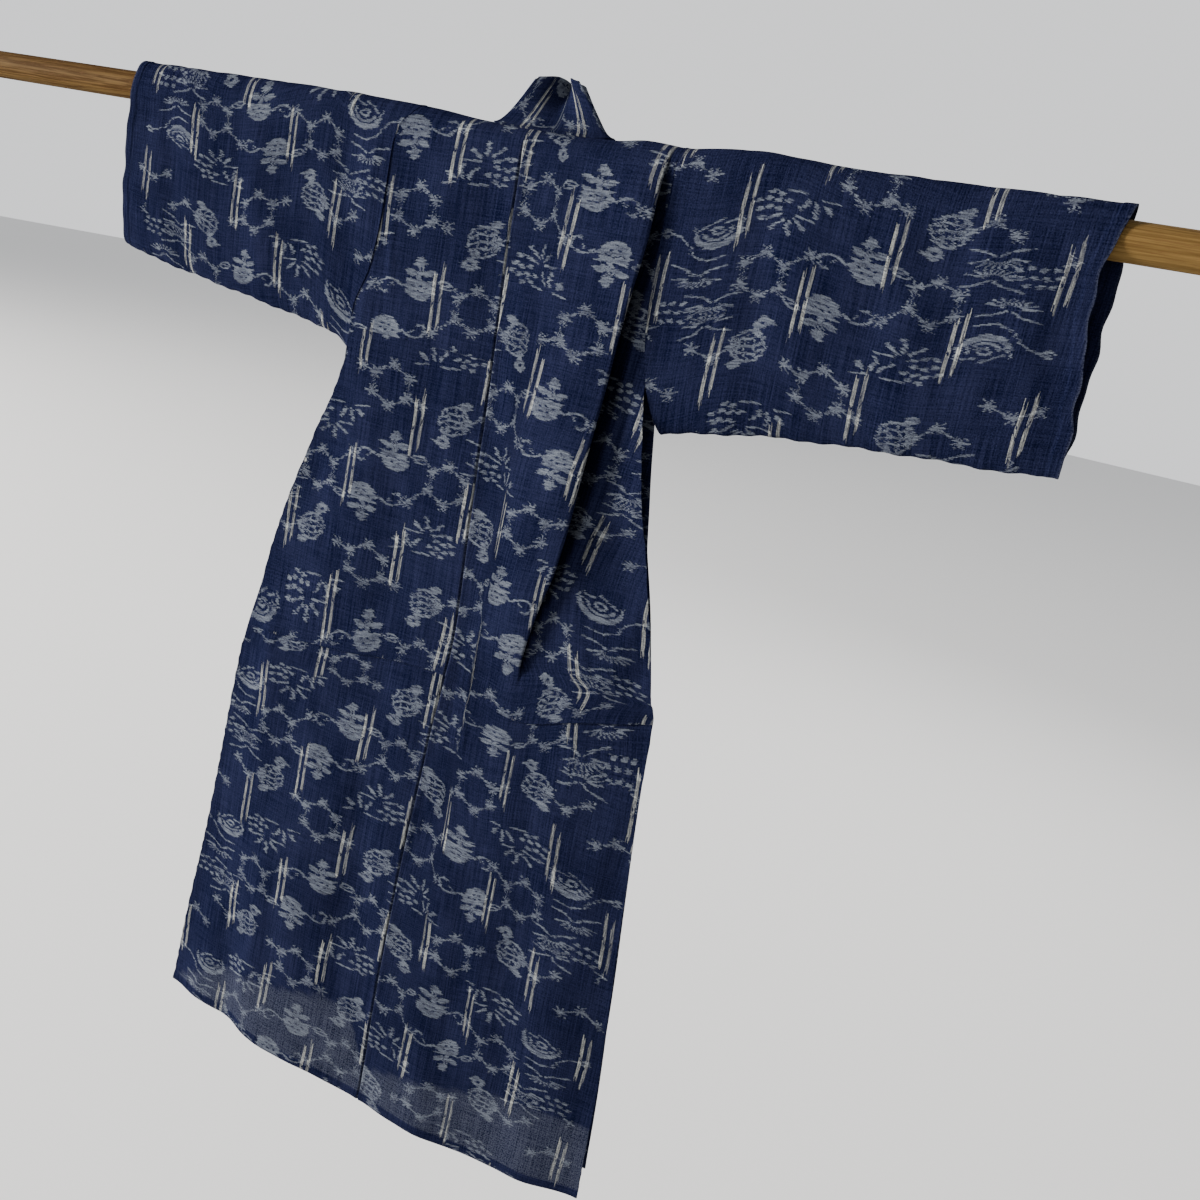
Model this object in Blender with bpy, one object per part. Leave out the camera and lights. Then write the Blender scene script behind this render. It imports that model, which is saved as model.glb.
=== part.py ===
"""Child's unlined kimono hung open on a round wooden pole.

The pole runs along X through both sleeves. The back of the garment faces -Y, the
fronts hang on the +Y side, and Z is up. The origin is on the pole's axis, half way
along it. Each half of the body is one length of cloth: it rises from the back hem,
passes over the pole and falls to the front hem. Sizes are in metres.
"""
import math
from collections import namedtuple

import bmesh
import bpy
from mathutils import Vector

# Pole
POLE_RADIUS = 0.014
POLE_LENGTH = 1.5
POLE_SIDES = 36
POLE_EDGE = 0.0012

# Cloth
CLOTH = 0.0012
COLLAR_CLOTH = 0.0024
SEAM_GAP = 0.0003
SLANTED_SEAM_GAP = 0.0004
POLE_CLEARANCE = 0.0004
RIDE = POLE_RADIUS + POLE_CLEARANCE + CLOTH / 2
SIDE_SEAM_HALF = CLOTH / 2 + 0.0002

# Lengths below the pole's axis
HEM_LENGTH = 0.984
ARMHOLE_DROP = 0.170
SLEEVE_DROP_AT_BODY = 0.209
COLLAR_END = 0.500
SLIT_END = 0.310

# Places across the width
NECK_MIDDLE = 0.0175
COLLAR_WIDTH = 0.051
SIDE_BLEND = 0.085

# Loose fold in the right half of the back
FOLD_ARC_STEPS = 3
FOLD_SHORTEST_STEP = 0.0004
FRONT_FOLD_SHARE = 0.40

# Rows of the walls: heights down the hanging parts, degrees over the pole's crown
HEIGHTS = (
    -0.022, -0.050, -0.090, -0.130, -ARMHOLE_DROP, -0.190, -SLEEVE_DROP_AT_BODY,
    -0.240, -0.275, -SLIT_END, -0.345, -0.390, -0.445, -COLLAR_END,
    -0.560, -0.630, -0.700, -0.770, -0.850, -0.920,
)
CROWN_ANGLES = (0, 15, 30, 45, 58, 62, 68, 78, 90, 102, 115, 130, 145, 162, 180)
NECK_ANGLE = 58
HEM_ZONE = -0.770
PLAIN_COLUMNS = 9
FLAP_COLUMNS = 6
UNDER_COLUMNS = 4
OVERLAP_COLUMNS = 4
COLLAR_COLUMNS = 5
COLLAR_BACK_SHARES = (0.35, 0.70)
COLLAR_SEAM_TURN = 1.6
COLLAR_ROUNDING = 0.22
COLLAR_FLAT_BY = 0.090
SLEEVE_SHARES = (0.0, 0.05, 0.13, 0.26, 0.42, 0.58, 0.74, 0.88, 1.0)
SLEEVE_LOW_HEIGHTS = (-0.199, -0.206)
SLEEVE_ROUNDING = 5

# Outer edges of the body, seen from the back: left is -X
Side = namedtuple("Side", "height left right")
SIDES = (
    Side(0.016, -0.117, 0.1465),
    Side(0.003, -0.131, 0.1465),
    Side(-0.020, -0.137, 0.1470),
    Side(-0.074, -0.137, 0.1480),
    Side(-0.125, -0.142, 0.1510),
    Side(-0.170, -0.157, 0.1595),
    Side(-0.209, -0.159, 0.1670),
    Side(-0.250, -0.1695, 0.1750),
    Side(-0.310, -0.1960, 0.1900),
    Side(-0.378, -0.2160, 0.2105),
    Side(-0.458, -0.2340, 0.2290),
    Side(-0.550, -0.2510, 0.2380),
    Side(-0.700, -0.2600, 0.2520),
    Side(-0.850, -0.2740, 0.2640),
    Side(-0.984, -0.2870, 0.2700),
)

# Where the sleeves' inner edges run, attached to the body down to the armhole's end
SLEEVE_ROOTS = (
    Side(-0.170, -0.1570, 0.1595),
    Side(-0.190, -0.1590, 0.1675),
    Side(-0.209, -0.1620, 0.1785),
)

# Cuff edges, on the layer towards the back and on the one towards the front
Cuff = namedtuple("Cuff", "height back_left front_left back_right front_right")
CUFFS = (
    Cuff(0.024, -0.482, -0.482, 0.488, 0.488),
    Cuff(0.000, -0.483, -0.484, 0.485, 0.489),
    Cuff(-0.040, -0.486, -0.486, 0.480, 0.491),
    Cuff(-0.085, -0.486, -0.486, 0.485, 0.492),
    Cuff(-0.165, -0.485, -0.485, 0.494, 0.494),
)

# Ridge of the shoulder fold: how far the cloth's crest stands above the pole
Ridge = namedtuple("Ridge", "place rise")
RIDGES = (
    Ridge(-0.486, 0.0090),
    Ridge(-0.300, 0.0090),
    Ridge(-0.190, 0.0078),
    Ridge(-0.110, 0.0055),
    Ridge(-0.045, 0.0006),
    Ridge(0.080, 0.0006),
    Ridge(0.110, 0.0035),
    Ridge(0.145, 0.0025),
    Ridge(0.210, 0.0080),
    Ridge(0.300, 0.0055),
    Ridge(0.420, 0.0072),
    Ridge(0.492, 0.0090),
)
RIDGE_SHARPNESS = 4

# Back and fronts: how far the cloth hangs from the plane through the pole's axis
Hang = namedtuple("Hang", "height back front_left front_right")
HANGS = (
    Hang(0.000, RIDE, RIDE, RIDE),
    Hang(-0.060, 0.0149, 0.0174, 0.0151),
    Hang(-0.120, 0.0144, 0.0217, 0.0153),
    Hang(-0.200, 0.0126, 0.0222, 0.0151),
    Hang(-0.320, 0.0095, 0.0212, 0.0141),
    Hang(-0.450, 0.0072, 0.0207, 0.0136),
    Hang(-0.600, 0.0095, 0.0212, 0.0141),
    Hang(-0.750, 0.0130, 0.0217, 0.0146),
    Hang(-0.984, 0.0162, 0.0227, 0.0156),
)

# Half the gap between back and front at the body's outer edge, below the armhole
SlitGap = namedtuple("SlitGap", "height half_gap")
SLIT_GAPS = (
    SlitGap(-0.170, 0.0120),
    SlitGap(-0.220, 0.0105),
    SlitGap(-0.270, 0.0075),
    SlitGap(-SLIT_END, SIDE_SEAM_HALF),
)

# Side seams: their place front to back
SeamLine = namedtuple("SeamLine", "height left right")
SEAM_LINES = (
    SeamLine(-0.200, 0.000, 0.000),
    SeamLine(-0.400, 0.000, 0.001),
    SeamLine(-0.700, -0.001, 0.003),
    SeamLine(-0.984, -0.002, 0.006),
)

# Centre-back seam
BackSeam = namedtuple("BackSeam", "height place")
BACK_SEAM = (
    BackSeam(0.016, 0.000),
    BackSeam(-0.120, 0.005),
    BackSeam(-0.300, 0.012),
    BackSeam(-0.450, 0.0175),
    BackSeam(-0.560, 0.011),
    BackSeam(-0.700, 0.007),
    BackSeam(-0.984, 0.008),
)

# Hems: how far they rise above the full length, by the place across
BackHem = namedtuple("BackHem", "place rise")
BACK_HEM = (
    BackHem(-0.287, -0.001),
    BackHem(-0.100, 0.003),
    BackHem(0.060, 0.004),
    BackHem(0.160, 0.010),
    BackHem(0.270, 0.026),
)
FrontHem = namedtuple("FrontHem", "place left right")
FRONT_HEM = (
    FrontHem(-0.287, 0.002, 0.009),
    FrontHem(-0.236, 0.023, 0.009),
    FrontHem(-0.147, 0.049, 0.009),
    FrontHem(-0.060, 0.067, 0.009),
    FrontHem(0.010, 0.070, 0.017),
    FrontHem(0.091, 0.066, 0.038),
    FrontHem(0.176, 0.066, 0.062),
    FrontHem(0.270, 0.066, 0.060),
)

# Soft swells and hollows that grow down to the back hem; push is towards the back
Swell = namedtuple("Swell", "name middle half_width push start")
SWELLS = (
    Swell("left swell", -0.115, 0.090, 0.0080, -0.450),
    Swell("left hollow", -0.205, 0.055, -0.0060, -0.600),
    Swell("right hollow", 0.165, 0.095, -0.0115, -0.500),
)

# Loose fold: the place of its edge, the depth tucked under it, how far it turns and how tightly
Fold = namedtuple("Fold", "height edge depth turn radius")
FOLDS = (
    Fold(0.016, 0.1385, 0.0, 0.0, 0.0012),
    Fold(0.000, 0.1385, 0.0, 60.0, 0.0012),
    Fold(-0.022, 0.1380, 0.002, 140.0, 0.0013),
    Fold(-0.050, 0.1375, 0.005, 180.0, 0.0015),
    Fold(-0.110, 0.1325, 0.009, 180.0, 0.0020),
    Fold(-0.170, 0.1275, 0.013, 180.0, 0.0026),
    Fold(-0.260, 0.1205, 0.014, 180.0, 0.0030),
    Fold(-0.345, 0.1135, 0.010, 180.0, 0.0026),
    Fold(-0.390, 0.1035, 0.006, 170.0, 0.0020),
    Fold(-0.445, 0.0950, 0.002, 110.0, 0.0013),
    Fold(-0.500, 0.0915, 0.0, 0.0, 0.0012),
    Fold(-0.984, 0.0915, 0.0, 0.0, 0.0012),
)

# Sleeve bottoms, from the body out to the cuff
SleeveDrop = namedtuple("SleeveDrop", "share left right")
SLEEVE_DROPS = (
    SleeveDrop(0.00, 0.209, 0.209),
    SleeveDrop(0.08, 0.196, 0.203),
    SleeveDrop(0.30, 0.187, 0.189),
    SleeveDrop(0.60, 0.177, 0.178),
    SleeveDrop(0.90, 0.166, 0.170),
    SleeveDrop(1.00, 0.159, 0.166),
)

# Front edges, as distances outwards from the middle of the neck
FrontEdge = namedtuple("FrontEdge", "height place")
NECK_SIDE = (
    FrontEdge(0.000, 0.0605),
    FrontEdge(-0.050, 0.0595),
    FrontEdge(-0.110, 0.0565),
    FrontEdge(-0.170, 0.0500),
)
OVERLAP_SEAM = (
    FrontEdge(-0.170, 0.0500),
    FrontEdge(-0.310, 0.0580),
    FrontEdge(-0.984, 0.0815),
)
OVERLAP_EDGE = (
    FrontEdge(-0.170, 0.0488),
    FrontEdge(-0.275, 0.0080),
    FrontEdge(-0.500, -0.0735),
    FrontEdge(-0.984, -0.0780),
)

# Neck edge over the pole's crown, as distances outwards from the middle of the neck
NeckRound = namedtuple("NeckRound", "angle place")
NECK_ROUND = (
    NeckRound(62, 0.0480),
    NeckRound(68, 0.0555),
    NeckRound(78, 0.0592),
    NeckRound(90, 0.0605),
    NeckRound(180, 0.0605),
)

# How the collar leans from its seam: inwards to the neck, to the front, and up
Lean = namedtuple("Lean", "angle inward forward up")
LEANS = (
    Lean(58, 0.00, 0.50, 0.85),
    Lean(62, 0.55, 0.05, 0.83),
    Lean(68, 0.64, 0.02, 0.77),
    Lean(90, 0.70, 0.02, 0.71),
    Lean(130, 0.85, 0.18, 0.50),
    Lean(180, 0.96, 0.10, 0.24),
)

Finish = namedtuple("Finish", "colour roughness")
INDIGO = Finish((0.013, 0.021, 0.065, 1.0), 0.85)
WOOD = Finish((0.47, 0.30, 0.16, 1.0), 0.45)


def ease(share):
    """Return a smooth 0 to 1 for a share that runs from 0 to 1."""
    share = min(max(share, 0.0), 1.0)
    return share * share * (3.0 - 2.0 * share)


def read(table, key, column, at):
    """Return a column of a table at a key between its rows, along a smooth curve."""
    rows = sorted(table, key=lambda row: getattr(row, key))
    keys = [getattr(row, key) for row in rows]
    values = [getattr(row, column) for row in rows]
    if at <= keys[0]:
        return values[0]
    if at >= keys[-1]:
        return values[-1]
    spot = max(i for i, value in enumerate(keys[:-1]) if value <= at)
    step = keys[spot + 1] - keys[spot]
    rises = [(values[i + 1] - values[i]) / (keys[i + 1] - keys[i]) for i in range(len(keys) - 1)]

    def slope(i):
        if i == 0:
            return rises[0]
        if i == len(keys) - 1:
            return rises[-1]
        if rises[i - 1] * rises[i] <= 0:
            return 0.0
        return 2 * rises[i - 1] * rises[i] / (rises[i - 1] + rises[i])

    share = (at - keys[spot]) / step
    square, cube = share ** 2, share ** 3
    return ((2 * cube - 3 * square + 1) * values[spot]
            + (cube - 2 * square + share) * step * slope(spot)
            + (3 * square - 2 * cube) * values[spot + 1]
            + (cube - square) * step * slope(spot + 1))


def swell(place, height):
    """Return how far the back stands out beyond its plain hang."""
    total = 0.0
    for wave in SWELLS:
        across = 1.0 - abs(place - wave.middle) / wave.half_width
        down = (height - wave.start) / (-HEM_LENGTH - wave.start)
        total += wave.push * ease(across) * ease(down)
    return total


def crown_reach(place, angle):
    """Return how far from the pole's axis the cloth passes over it."""
    return RIDE + read(RIDGES, "place", "rise", place) * math.sin(angle) ** RIDGE_SHARPNESS


def sleeve_half_gap(height, drop):
    """Return half the gap between a sleeve's two layers at a height, closed at its drop."""
    return RIDE * math.sqrt(max(0.0, 1.0 - (-height / drop) ** SLEEVE_ROUNDING))


def side_half_gap(height):
    """Return half the gap between back and front at the body's outer edge."""
    if height > -ARMHOLE_DROP:
        return sleeve_half_gap(height, SLEEVE_DROP_AT_BODY)
    return read(SLIT_GAPS, "height", "half_gap", height)


def hang(half, face, place, height):
    """Return how far along Y the body's cloth hangs at a place across it and a height."""
    if face == "back":
        inner = -read(HANGS, "height", "back", height) - swell(place, height)
        away = -1
    else:
        inner = read(HANGS, "height", "front_" + half, height)
        away = 1
    outer = read(SEAM_LINES, "height", half, height) + away * side_half_gap(height)
    from_side = abs(read(SIDES, "height", half, height) - place)
    return outer + (inner - outer) * ease(from_side / SIDE_BLEND)


Station = namedtuple("Station", "face height angle")


def body_stations():
    """Return the rows of a body half, from the back hem over the crown to the front hem."""
    back = [Station("back", height, 0) for height in (-HEM_LENGTH, *reversed(HEIGHTS))]
    crown = [Station("crown", RIDE * math.sin(math.radians(angle)), angle) for angle in CROWN_ANGLES]
    front = [Station("front", height, 180) for height in (*HEIGHTS, -HEM_LENGTH)]
    return back + crown + front


def put(half, station, place, lift=0.0):
    """Return a point of the body's cloth, lifted off its plain surface."""
    if station.face == "crown":
        angle = math.radians(station.angle)
        reach = crown_reach(place, angle) + lift
        return Vector((place, -reach * math.cos(angle), reach * math.sin(angle)))
    height = station.height
    if height < HEM_ZONE:
        table, column = (BACK_HEM, "rise") if station.face == "back" else (FRONT_HEM, half)
        rise = read(table, "place", column, place)
        height += rise * (HEM_ZONE - height) / (HEM_ZONE + HEM_LENGTH)
    away = -1 if station.face == "back" else 1
    return Vector((place, hang(half, station.face, place, height) + away * lift, height))


def outwards(half):
    """Return the direction along X that leads out from the middle on this half."""
    return -1 if half == "left" else 1


def inner_edge(half, station):
    """Return where a body half begins: centre-back seam, neck, or front edge."""
    side = outwards(half)
    if station.face == "back" or (station.face == "crown" and station.angle <= NECK_ANGLE):
        return read(BACK_SEAM, "height", "place", station.height) + side * SEAM_GAP / 2
    if station.face == "crown":
        return NECK_MIDDLE + side * read(NECK_ROUND, "angle", "place", station.angle)
    table = NECK_SIDE if station.height > -ARMHOLE_DROP else OVERLAP_SEAM
    return NECK_MIDDLE + side * read(table, "height", "place", station.height)


def fold_steps(depth, turn, radius):
    """Return the steps across and up through the fold, from its flap to the layer under it."""
    arc_turn = math.radians(turn) / FOLD_ARC_STEPS
    arc_step = radius * arc_turn + FOLD_SHORTEST_STEP * (1.0 - turn / 180.0)
    first = [(arc_step, (i + 0.5) * arc_turn) for i in range(FOLD_ARC_STEPS)]
    middle = [(max(depth, FOLD_SHORTEST_STEP), math.radians(turn))]
    second = [(length, heading) for length, heading in reversed(first)]
    return [(length * math.cos(heading), -length * math.sin(heading))
            for length, heading in first + middle + second]


def plain_row(half, station):
    """Return one row of a body half that lies in a single layer."""
    start = inner_edge(half, station)
    end = read(SIDES, "height", half, station.height)
    return [put(half, station, start + (end - start) * i / PLAIN_COLUMNS)
            for i in range(PLAIN_COLUMNS + 1)]


def folded_row(half, station):
    """Return one row of the body half that has the loose fold in its back."""
    start = inner_edge(half, station)
    end = read(SIDES, "height", half, station.height)
    height = station.height
    if station.angle > 90:
        height = FOLDS[0].height
    depth, turn, radius = (read(FOLDS, "height", column, height) for column in ("depth", "turn", "radius"))
    steps = fold_steps(depth, turn, radius)
    flap_end = read(FOLDS, "height", "edge", height) - radius
    if station.face == "front":
        flap_end = start + FRONT_FOLD_SHARE * (end - start)
    lift = -sum(up for _, up in steps)
    shares = [i / FLAP_COLUMNS for i in range(FLAP_COLUMNS + 1)]
    row = [(start + (flap_end - start) * share, lift * ease(share)) for share in shares]
    for across, up in steps:
        row.append((row[-1][0] + across, row[-1][1] + up))
    turn_end = row[-1][0]
    row += [(turn_end + (end - turn_end) * (i + 1) / UNDER_COLUMNS, 0.0) for i in range(UNDER_COLUMNS)]
    return [put(half, station, place, raised) for place, raised in row]


def overlap_row(half, station):
    """Return one row of the narrow panel sewn to a front edge."""
    side = outwards(half)
    start = NECK_MIDDLE + side * (read(OVERLAP_SEAM, "height", "place", station.height) - SEAM_GAP)
    end = NECK_MIDDLE + side * read(OVERLAP_EDGE, "height", "place", station.height)
    return [put(half, station, start + (end - start) * i / OVERLAP_COLUMNS)
            for i in range(OVERLAP_COLUMNS + 1)]


def sleeve_point(half, face, height, angle, share):
    """Return a point of a sleeve; heights are those at the body, share runs out to the cuff."""
    side = outwards(half)
    drop = read(SLEEVE_DROPS, "share", half, share)
    here = height * drop / SLEEVE_DROP_AT_BODY if height < 0 else height
    roots = SIDES if height > -ARMHOLE_DROP else SLEEVE_ROOTS
    root = read(roots, "height", half, height) + side * SLANTED_SEAM_GAP
    near, far = (read(CUFFS, "height", layer + half, height) for layer in ("back_", "front_"))
    if face == "crown":
        turned = math.radians(angle)
        cuff = near + (far - near) * ease(angle / 180)
        place = root + (cuff - root) * share
        reach = crown_reach(place, turned)
        return Vector((place, -reach * math.cos(turned), reach * math.sin(turned)))
    cuff = near if face == "back" else far
    away = -1 if face == "back" else 1
    return Vector((root + (cuff - root) * share, away * sleeve_half_gap(here, drop), here))


def sleeve_ring(half, share):
    """Return one ring of a sleeve, up its near side, over the pole and down its far side."""
    heights = [height for height in HEIGHTS if height > -SLEEVE_DROP_AT_BODY] + list(SLEEVE_LOW_HEIGHTS)
    bottom = [("back", -SLEEVE_DROP_AT_BODY, 0)]
    near = [("back", height, 0) for height in sorted(heights)]
    crown = [("crown", RIDE * math.sin(math.radians(angle)), angle) for angle in CROWN_ANGLES]
    far = [("front", height, 180) for height in sorted(heights, reverse=True)]
    return [sleeve_point(half, face, height, angle, share)
            for face, height, angle in bottom + near + crown + far]


def neck_spots(half):
    """Return (degrees, place, key for the lean) along one side of the neck edge, from its middle."""
    side = outwards(half)
    seam = read(BACK_SEAM, "height", "place", RIDE)
    turn = NECK_ROUND[0]
    spots = []
    for share in COLLAR_BACK_SHARES:
        place = NECK_MIDDLE + side * share * turn.place
        end = NECK_MIDDLE + (turn.place if place > seam else -turn.place)
        rise = (turn.angle - NECK_ANGLE) * (place - seam) / (end - seam)
        lean_key = NECK_ANGLE + (turn.angle - NECK_ANGLE) * share
        spots.append((NECK_ANGLE + rise + COLLAR_SEAM_TURN, place, lean_key))
    for angle in CROWN_ANGLES:
        if angle >= turn.angle:
            place = NECK_MIDDLE + side * (read(NECK_ROUND, "angle", "place", angle) - SLANTED_SEAM_GAP)
            ahead = COLLAR_SEAM_TURN * ease((90 - angle) / (90 - turn.angle))
            spots.append((angle + ahead, place, angle))
    return spots


def collar_seam(half):
    """Return the collar's seam down one half: points, outward directions and leans."""
    side = outwards(half)
    lift = (COLLAR_CLOTH - CLOTH) / 2
    seam = []
    for angle, place, key in neck_spots(half):
        turned = math.radians(angle)
        away = Vector((0.0, -math.cos(turned), math.sin(turned)))
        inward, forward, up = (read(LEANS, "angle", column, key) for column in ("inward", "forward", "up"))
        seam.append((put(half, Station("crown", 0.0, angle), place, lift), away,
                     Vector((-side * inward, forward, up))))
    last_lean = seam[-1][2]
    for height in HEIGHTS:
        if height >= -COLLAR_END:
            table = NECK_SIDE if height > -ARMHOLE_DROP else OVERLAP_EDGE
            place = NECK_MIDDLE + side * (read(table, "height", "place", height) - SLANTED_SEAM_GAP)
            point = put(half, Station("front", height, 180), place, lift)
            seam.append((point, Vector((0.0, 1.0, 0.0)), last_lean))
    return seam


def collar_rows():
    """Return the collar's rows, from the left front over the back of the neck to the right front."""
    left, right = collar_seam("left"), collar_seam("right")
    middle_turn = math.radians(neck_spots("right")[0][0])
    reach = crown_reach(NECK_MIDDLE, middle_turn) + (COLLAR_CLOTH - CLOTH) / 2
    away = Vector((0.0, -math.cos(middle_turn), math.sin(middle_turn)))
    lean = Vector((0.0, LEANS[0].forward, LEANS[0].up))
    seam = [*reversed(left), (Vector((NECK_MIDDLE, 0, 0)) + away * reach, away, lean), *right]
    rows = []
    for i, (point, away, lean) in enumerate(seam):
        along = seam[min(i + 1, len(seam) - 1)][0] - seam[max(i - 1, 0)][0]
        inward = away.cross(along).normalized()
        if inward.dot(lean) < 0:
            inward = -inward
        if away.y == 1.0:
            lean = lean.lerp(inward, ease(-point.z / COLLAR_FLAT_BY))
        bend = point + inward * (COLLAR_ROUNDING * COLLAR_WIDTH)
        tip = point + lean.normalized() * COLLAR_WIDTH
        row = []
        for step in range(COLLAR_COLUMNS + 1):
            share = step / COLLAR_COLUMNS
            row.append(point * (1 - share) ** 2 + bend * (2 * share * (1 - share)) + tip * share ** 2)
        rows.append(row)
    return rows


def wall(name, rows, finish, thickness=CLOTH, ring=False):
    """Make a closed wall of one thickness with these rows of points as its middle."""
    count, width = len(rows), len(rows[0])

    def across(i, j):
        if ring:
            return rows[i][(j + 1) % width] - rows[i][(j - 1) % width]
        return rows[i][min(j + 1, width - 1)] - rows[i][max(j - 1, 0)]

    def along(i, j):
        return rows[min(i + 1, count - 1)][j] - rows[max(i - 1, 0)][j]

    mesh = bmesh.new()
    skins = []
    for away in (thickness / 2, -thickness / 2):
        skin = []
        for i in range(count):
            normals = [along(i, j).cross(across(i, j)).normalized() for j in range(width)]
            skin.append([mesh.verts.new(rows[i][j] + normals[j] * away) for j in range(width)])
        skins.append(skin)
    steps = width if ring else width - 1
    for skin in skins:
        for i in range(count - 1):
            for j in range(steps):
                k = (j + 1) % width
                mesh.faces.new((skin[i][j], skin[i + 1][j], skin[i + 1][k], skin[i][k]))
    upper, lower = skins
    for i in (0, count - 1):
        for j in range(steps):
            k = (j + 1) % width
            mesh.faces.new((upper[i][j], upper[i][k], lower[i][k], lower[i][j]))
    if not ring:
        for j in (0, width - 1):
            for i in range(count - 1):
                mesh.faces.new((upper[i][j], upper[i + 1][j], lower[i + 1][j], lower[i][j]))
    bmesh.ops.recalc_face_normals(mesh, faces=mesh.faces)
    return finish_object(name, mesh, finish)


def finish_object(name, mesh, finish):
    """Turn a bmesh into a named object with its own material."""
    data = bpy.data.meshes.new(name)
    mesh.to_mesh(data)
    mesh.free()
    data.shade_smooth()
    data.set_sharp_from_angle(angle=math.radians(40))
    material = bpy.data.materials.new(name)
    material.use_nodes = True
    shader = material.node_tree.nodes["Principled BSDF"]
    shader.inputs["Base Color"].default_value = finish.colour
    shader.inputs["Roughness"].default_value = finish.roughness
    data.materials.append(material)
    made = bpy.data.objects.new(name, data)
    bpy.context.scene.collection.objects.link(made)
    return made


def make_pole():
    """Make the round pole along X, with its end edges eased."""
    mesh = bmesh.new()
    bmesh.ops.create_cone(mesh, cap_ends=True, segments=POLE_SIDES, radius1=POLE_RADIUS,
                          radius2=POLE_RADIUS, depth=POLE_LENGTH)
    rims = [edge for edge in mesh.edges if len({round(vert.co.z, 6) for vert in edge.verts}) == 1]
    bmesh.ops.bevel(mesh, geom=rims, offset=POLE_EDGE, segments=1, affect="EDGES")
    pole = finish_object("pole", mesh, WOOD)
    pole.rotation_euler = (0.0, math.radians(90), 0.0)


def make_garment():
    """Make every piece of cloth."""
    stations = body_stations()
    wall("body_left", [plain_row("left", station) for station in stations], INDIGO)
    wall("body_right", [folded_row("right", station) for station in stations], INDIGO)
    low_front = [station for station in stations
                 if station.face == "front" and station.height <= -ARMHOLE_DROP]
    for half in ("left", "right"):
        wall("overlap_" + half, [overlap_row(half, station) for station in low_front], INDIGO)
        rings = [sleeve_ring(half, share) for share in SLEEVE_SHARES]
        wall("sleeve_" + half, rings, INDIGO, ring=True)
    wall("collar", collar_rows(), INDIGO, thickness=COLLAR_CLOTH)


def main():
    """Clear the scene and build the part."""
    for item in list(bpy.data.objects):
        bpy.data.objects.remove(item, do_unlink=True)
    make_pole()
    make_garment()


main()
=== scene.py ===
"""Child's unlined kimono of figured indigo cloth, hung on a round wooden pole.

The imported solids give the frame. Each piece of cloth is built again here as a thin
shell on the form of its solid, with its creases, rolled hems and woven figures. The
pole runs along X, the back of the garment faces -Y, and Z is up. Sizes are in metres,
and the weaver's chart is drawn in millimetres.
"""
import logging
import math
from dataclasses import dataclass, field
from enum import Enum
from typing import Any, Iterable, NamedTuple, Optional, Sequence

import bmesh
import bpy
import numpy as np
from mathutils import Matrix, Vector


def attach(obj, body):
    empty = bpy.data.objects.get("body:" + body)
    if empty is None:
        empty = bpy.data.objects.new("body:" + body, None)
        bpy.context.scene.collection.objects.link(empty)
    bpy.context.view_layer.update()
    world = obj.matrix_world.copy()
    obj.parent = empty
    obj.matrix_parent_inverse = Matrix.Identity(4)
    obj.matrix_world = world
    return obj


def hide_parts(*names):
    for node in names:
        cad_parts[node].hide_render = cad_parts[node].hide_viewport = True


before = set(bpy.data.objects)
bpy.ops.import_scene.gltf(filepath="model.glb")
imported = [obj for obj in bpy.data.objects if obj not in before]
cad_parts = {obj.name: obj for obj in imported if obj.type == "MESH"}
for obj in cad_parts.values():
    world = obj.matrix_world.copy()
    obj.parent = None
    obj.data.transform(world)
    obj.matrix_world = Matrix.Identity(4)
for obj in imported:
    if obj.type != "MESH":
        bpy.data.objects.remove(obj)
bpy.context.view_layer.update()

log = logging.getLogger("kimono")
Array = np.ndarray

MM = 0.001


class Half(Enum):
    """A side of the garment as seen from its back, with its direction along X."""

    LEFT = -1
    RIGHT = 1

    @property
    def key(self) -> str:
        """Return the name of this side's columns."""
        return self.name.lower()


class Face(Enum):
    """Where a row of cloth lies: down the back, over the pole, or down the front."""

    BACK = "back"
    CROWN = "crown"
    FRONT = "front"


class Fold(Enum):
    """The profile of a crease across its line."""

    RIDGE = "ridge"
    LEDGE = "ledge"


class Side(NamedTuple):
    """Outer edges of the body at a height."""

    height: float
    left: float
    right: float


class Cuff(NamedTuple):
    """Cuff edges at a height."""

    height: float
    back_left: float
    front_left: float
    back_right: float
    front_right: float


class Ridge(NamedTuple):
    """How far the cloth's crest stands above the pole at a place."""

    place: float
    rise: float


class Hang(NamedTuple):
    """How far the body's back and fronts hang from the plane through the pole's axis."""

    height: float
    back: float
    front_left: float
    front_right: float


class Gap(NamedTuple):
    """Half the gap between back and front at the side slit."""

    height: float
    half_gap: float


class Spot(NamedTuple):
    """A value at a height."""

    height: float
    place: float


class Hem(NamedTuple):
    """How far each hem rises above the full length at a place."""

    place: float
    back: float
    left: float
    right: float


class Swell(NamedTuple):
    """A soft swell or hollow that grows down to the back hem."""

    middle: float
    half_width: float
    push: float
    start: float


class Pleat(NamedTuple):
    """The loose fold at a height: its edge, tucked depth, turn, radius and deep shade."""

    height: float
    edge: float
    depth: float
    turn: float
    radius: float
    shade: float


class Drop(NamedTuple):
    """How far a sleeve hangs at a share of the way out to its cuff."""

    share: float
    left: float
    right: float


class Round(NamedTuple):
    """The neck edge over the crown."""

    angle: float
    place: float


class Lean(NamedTuple):
    """How the collar leans from its seam."""

    angle: float
    inward: float
    forward: float
    up: float


class Level(NamedTuple):
    """A height at a place across the back."""

    place: float
    height: float


class Slip(NamedTuple):
    """How far up the weft lies at a place along a sleeve."""

    place: float
    left: float
    right: float


class Crease(NamedTuple):
    """A crease from one point of a panel to another."""

    x0: float
    z0: float
    x1: float
    z1: float
    width: float
    push: float
    kind: Fold = Fold.RIDGE


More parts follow.
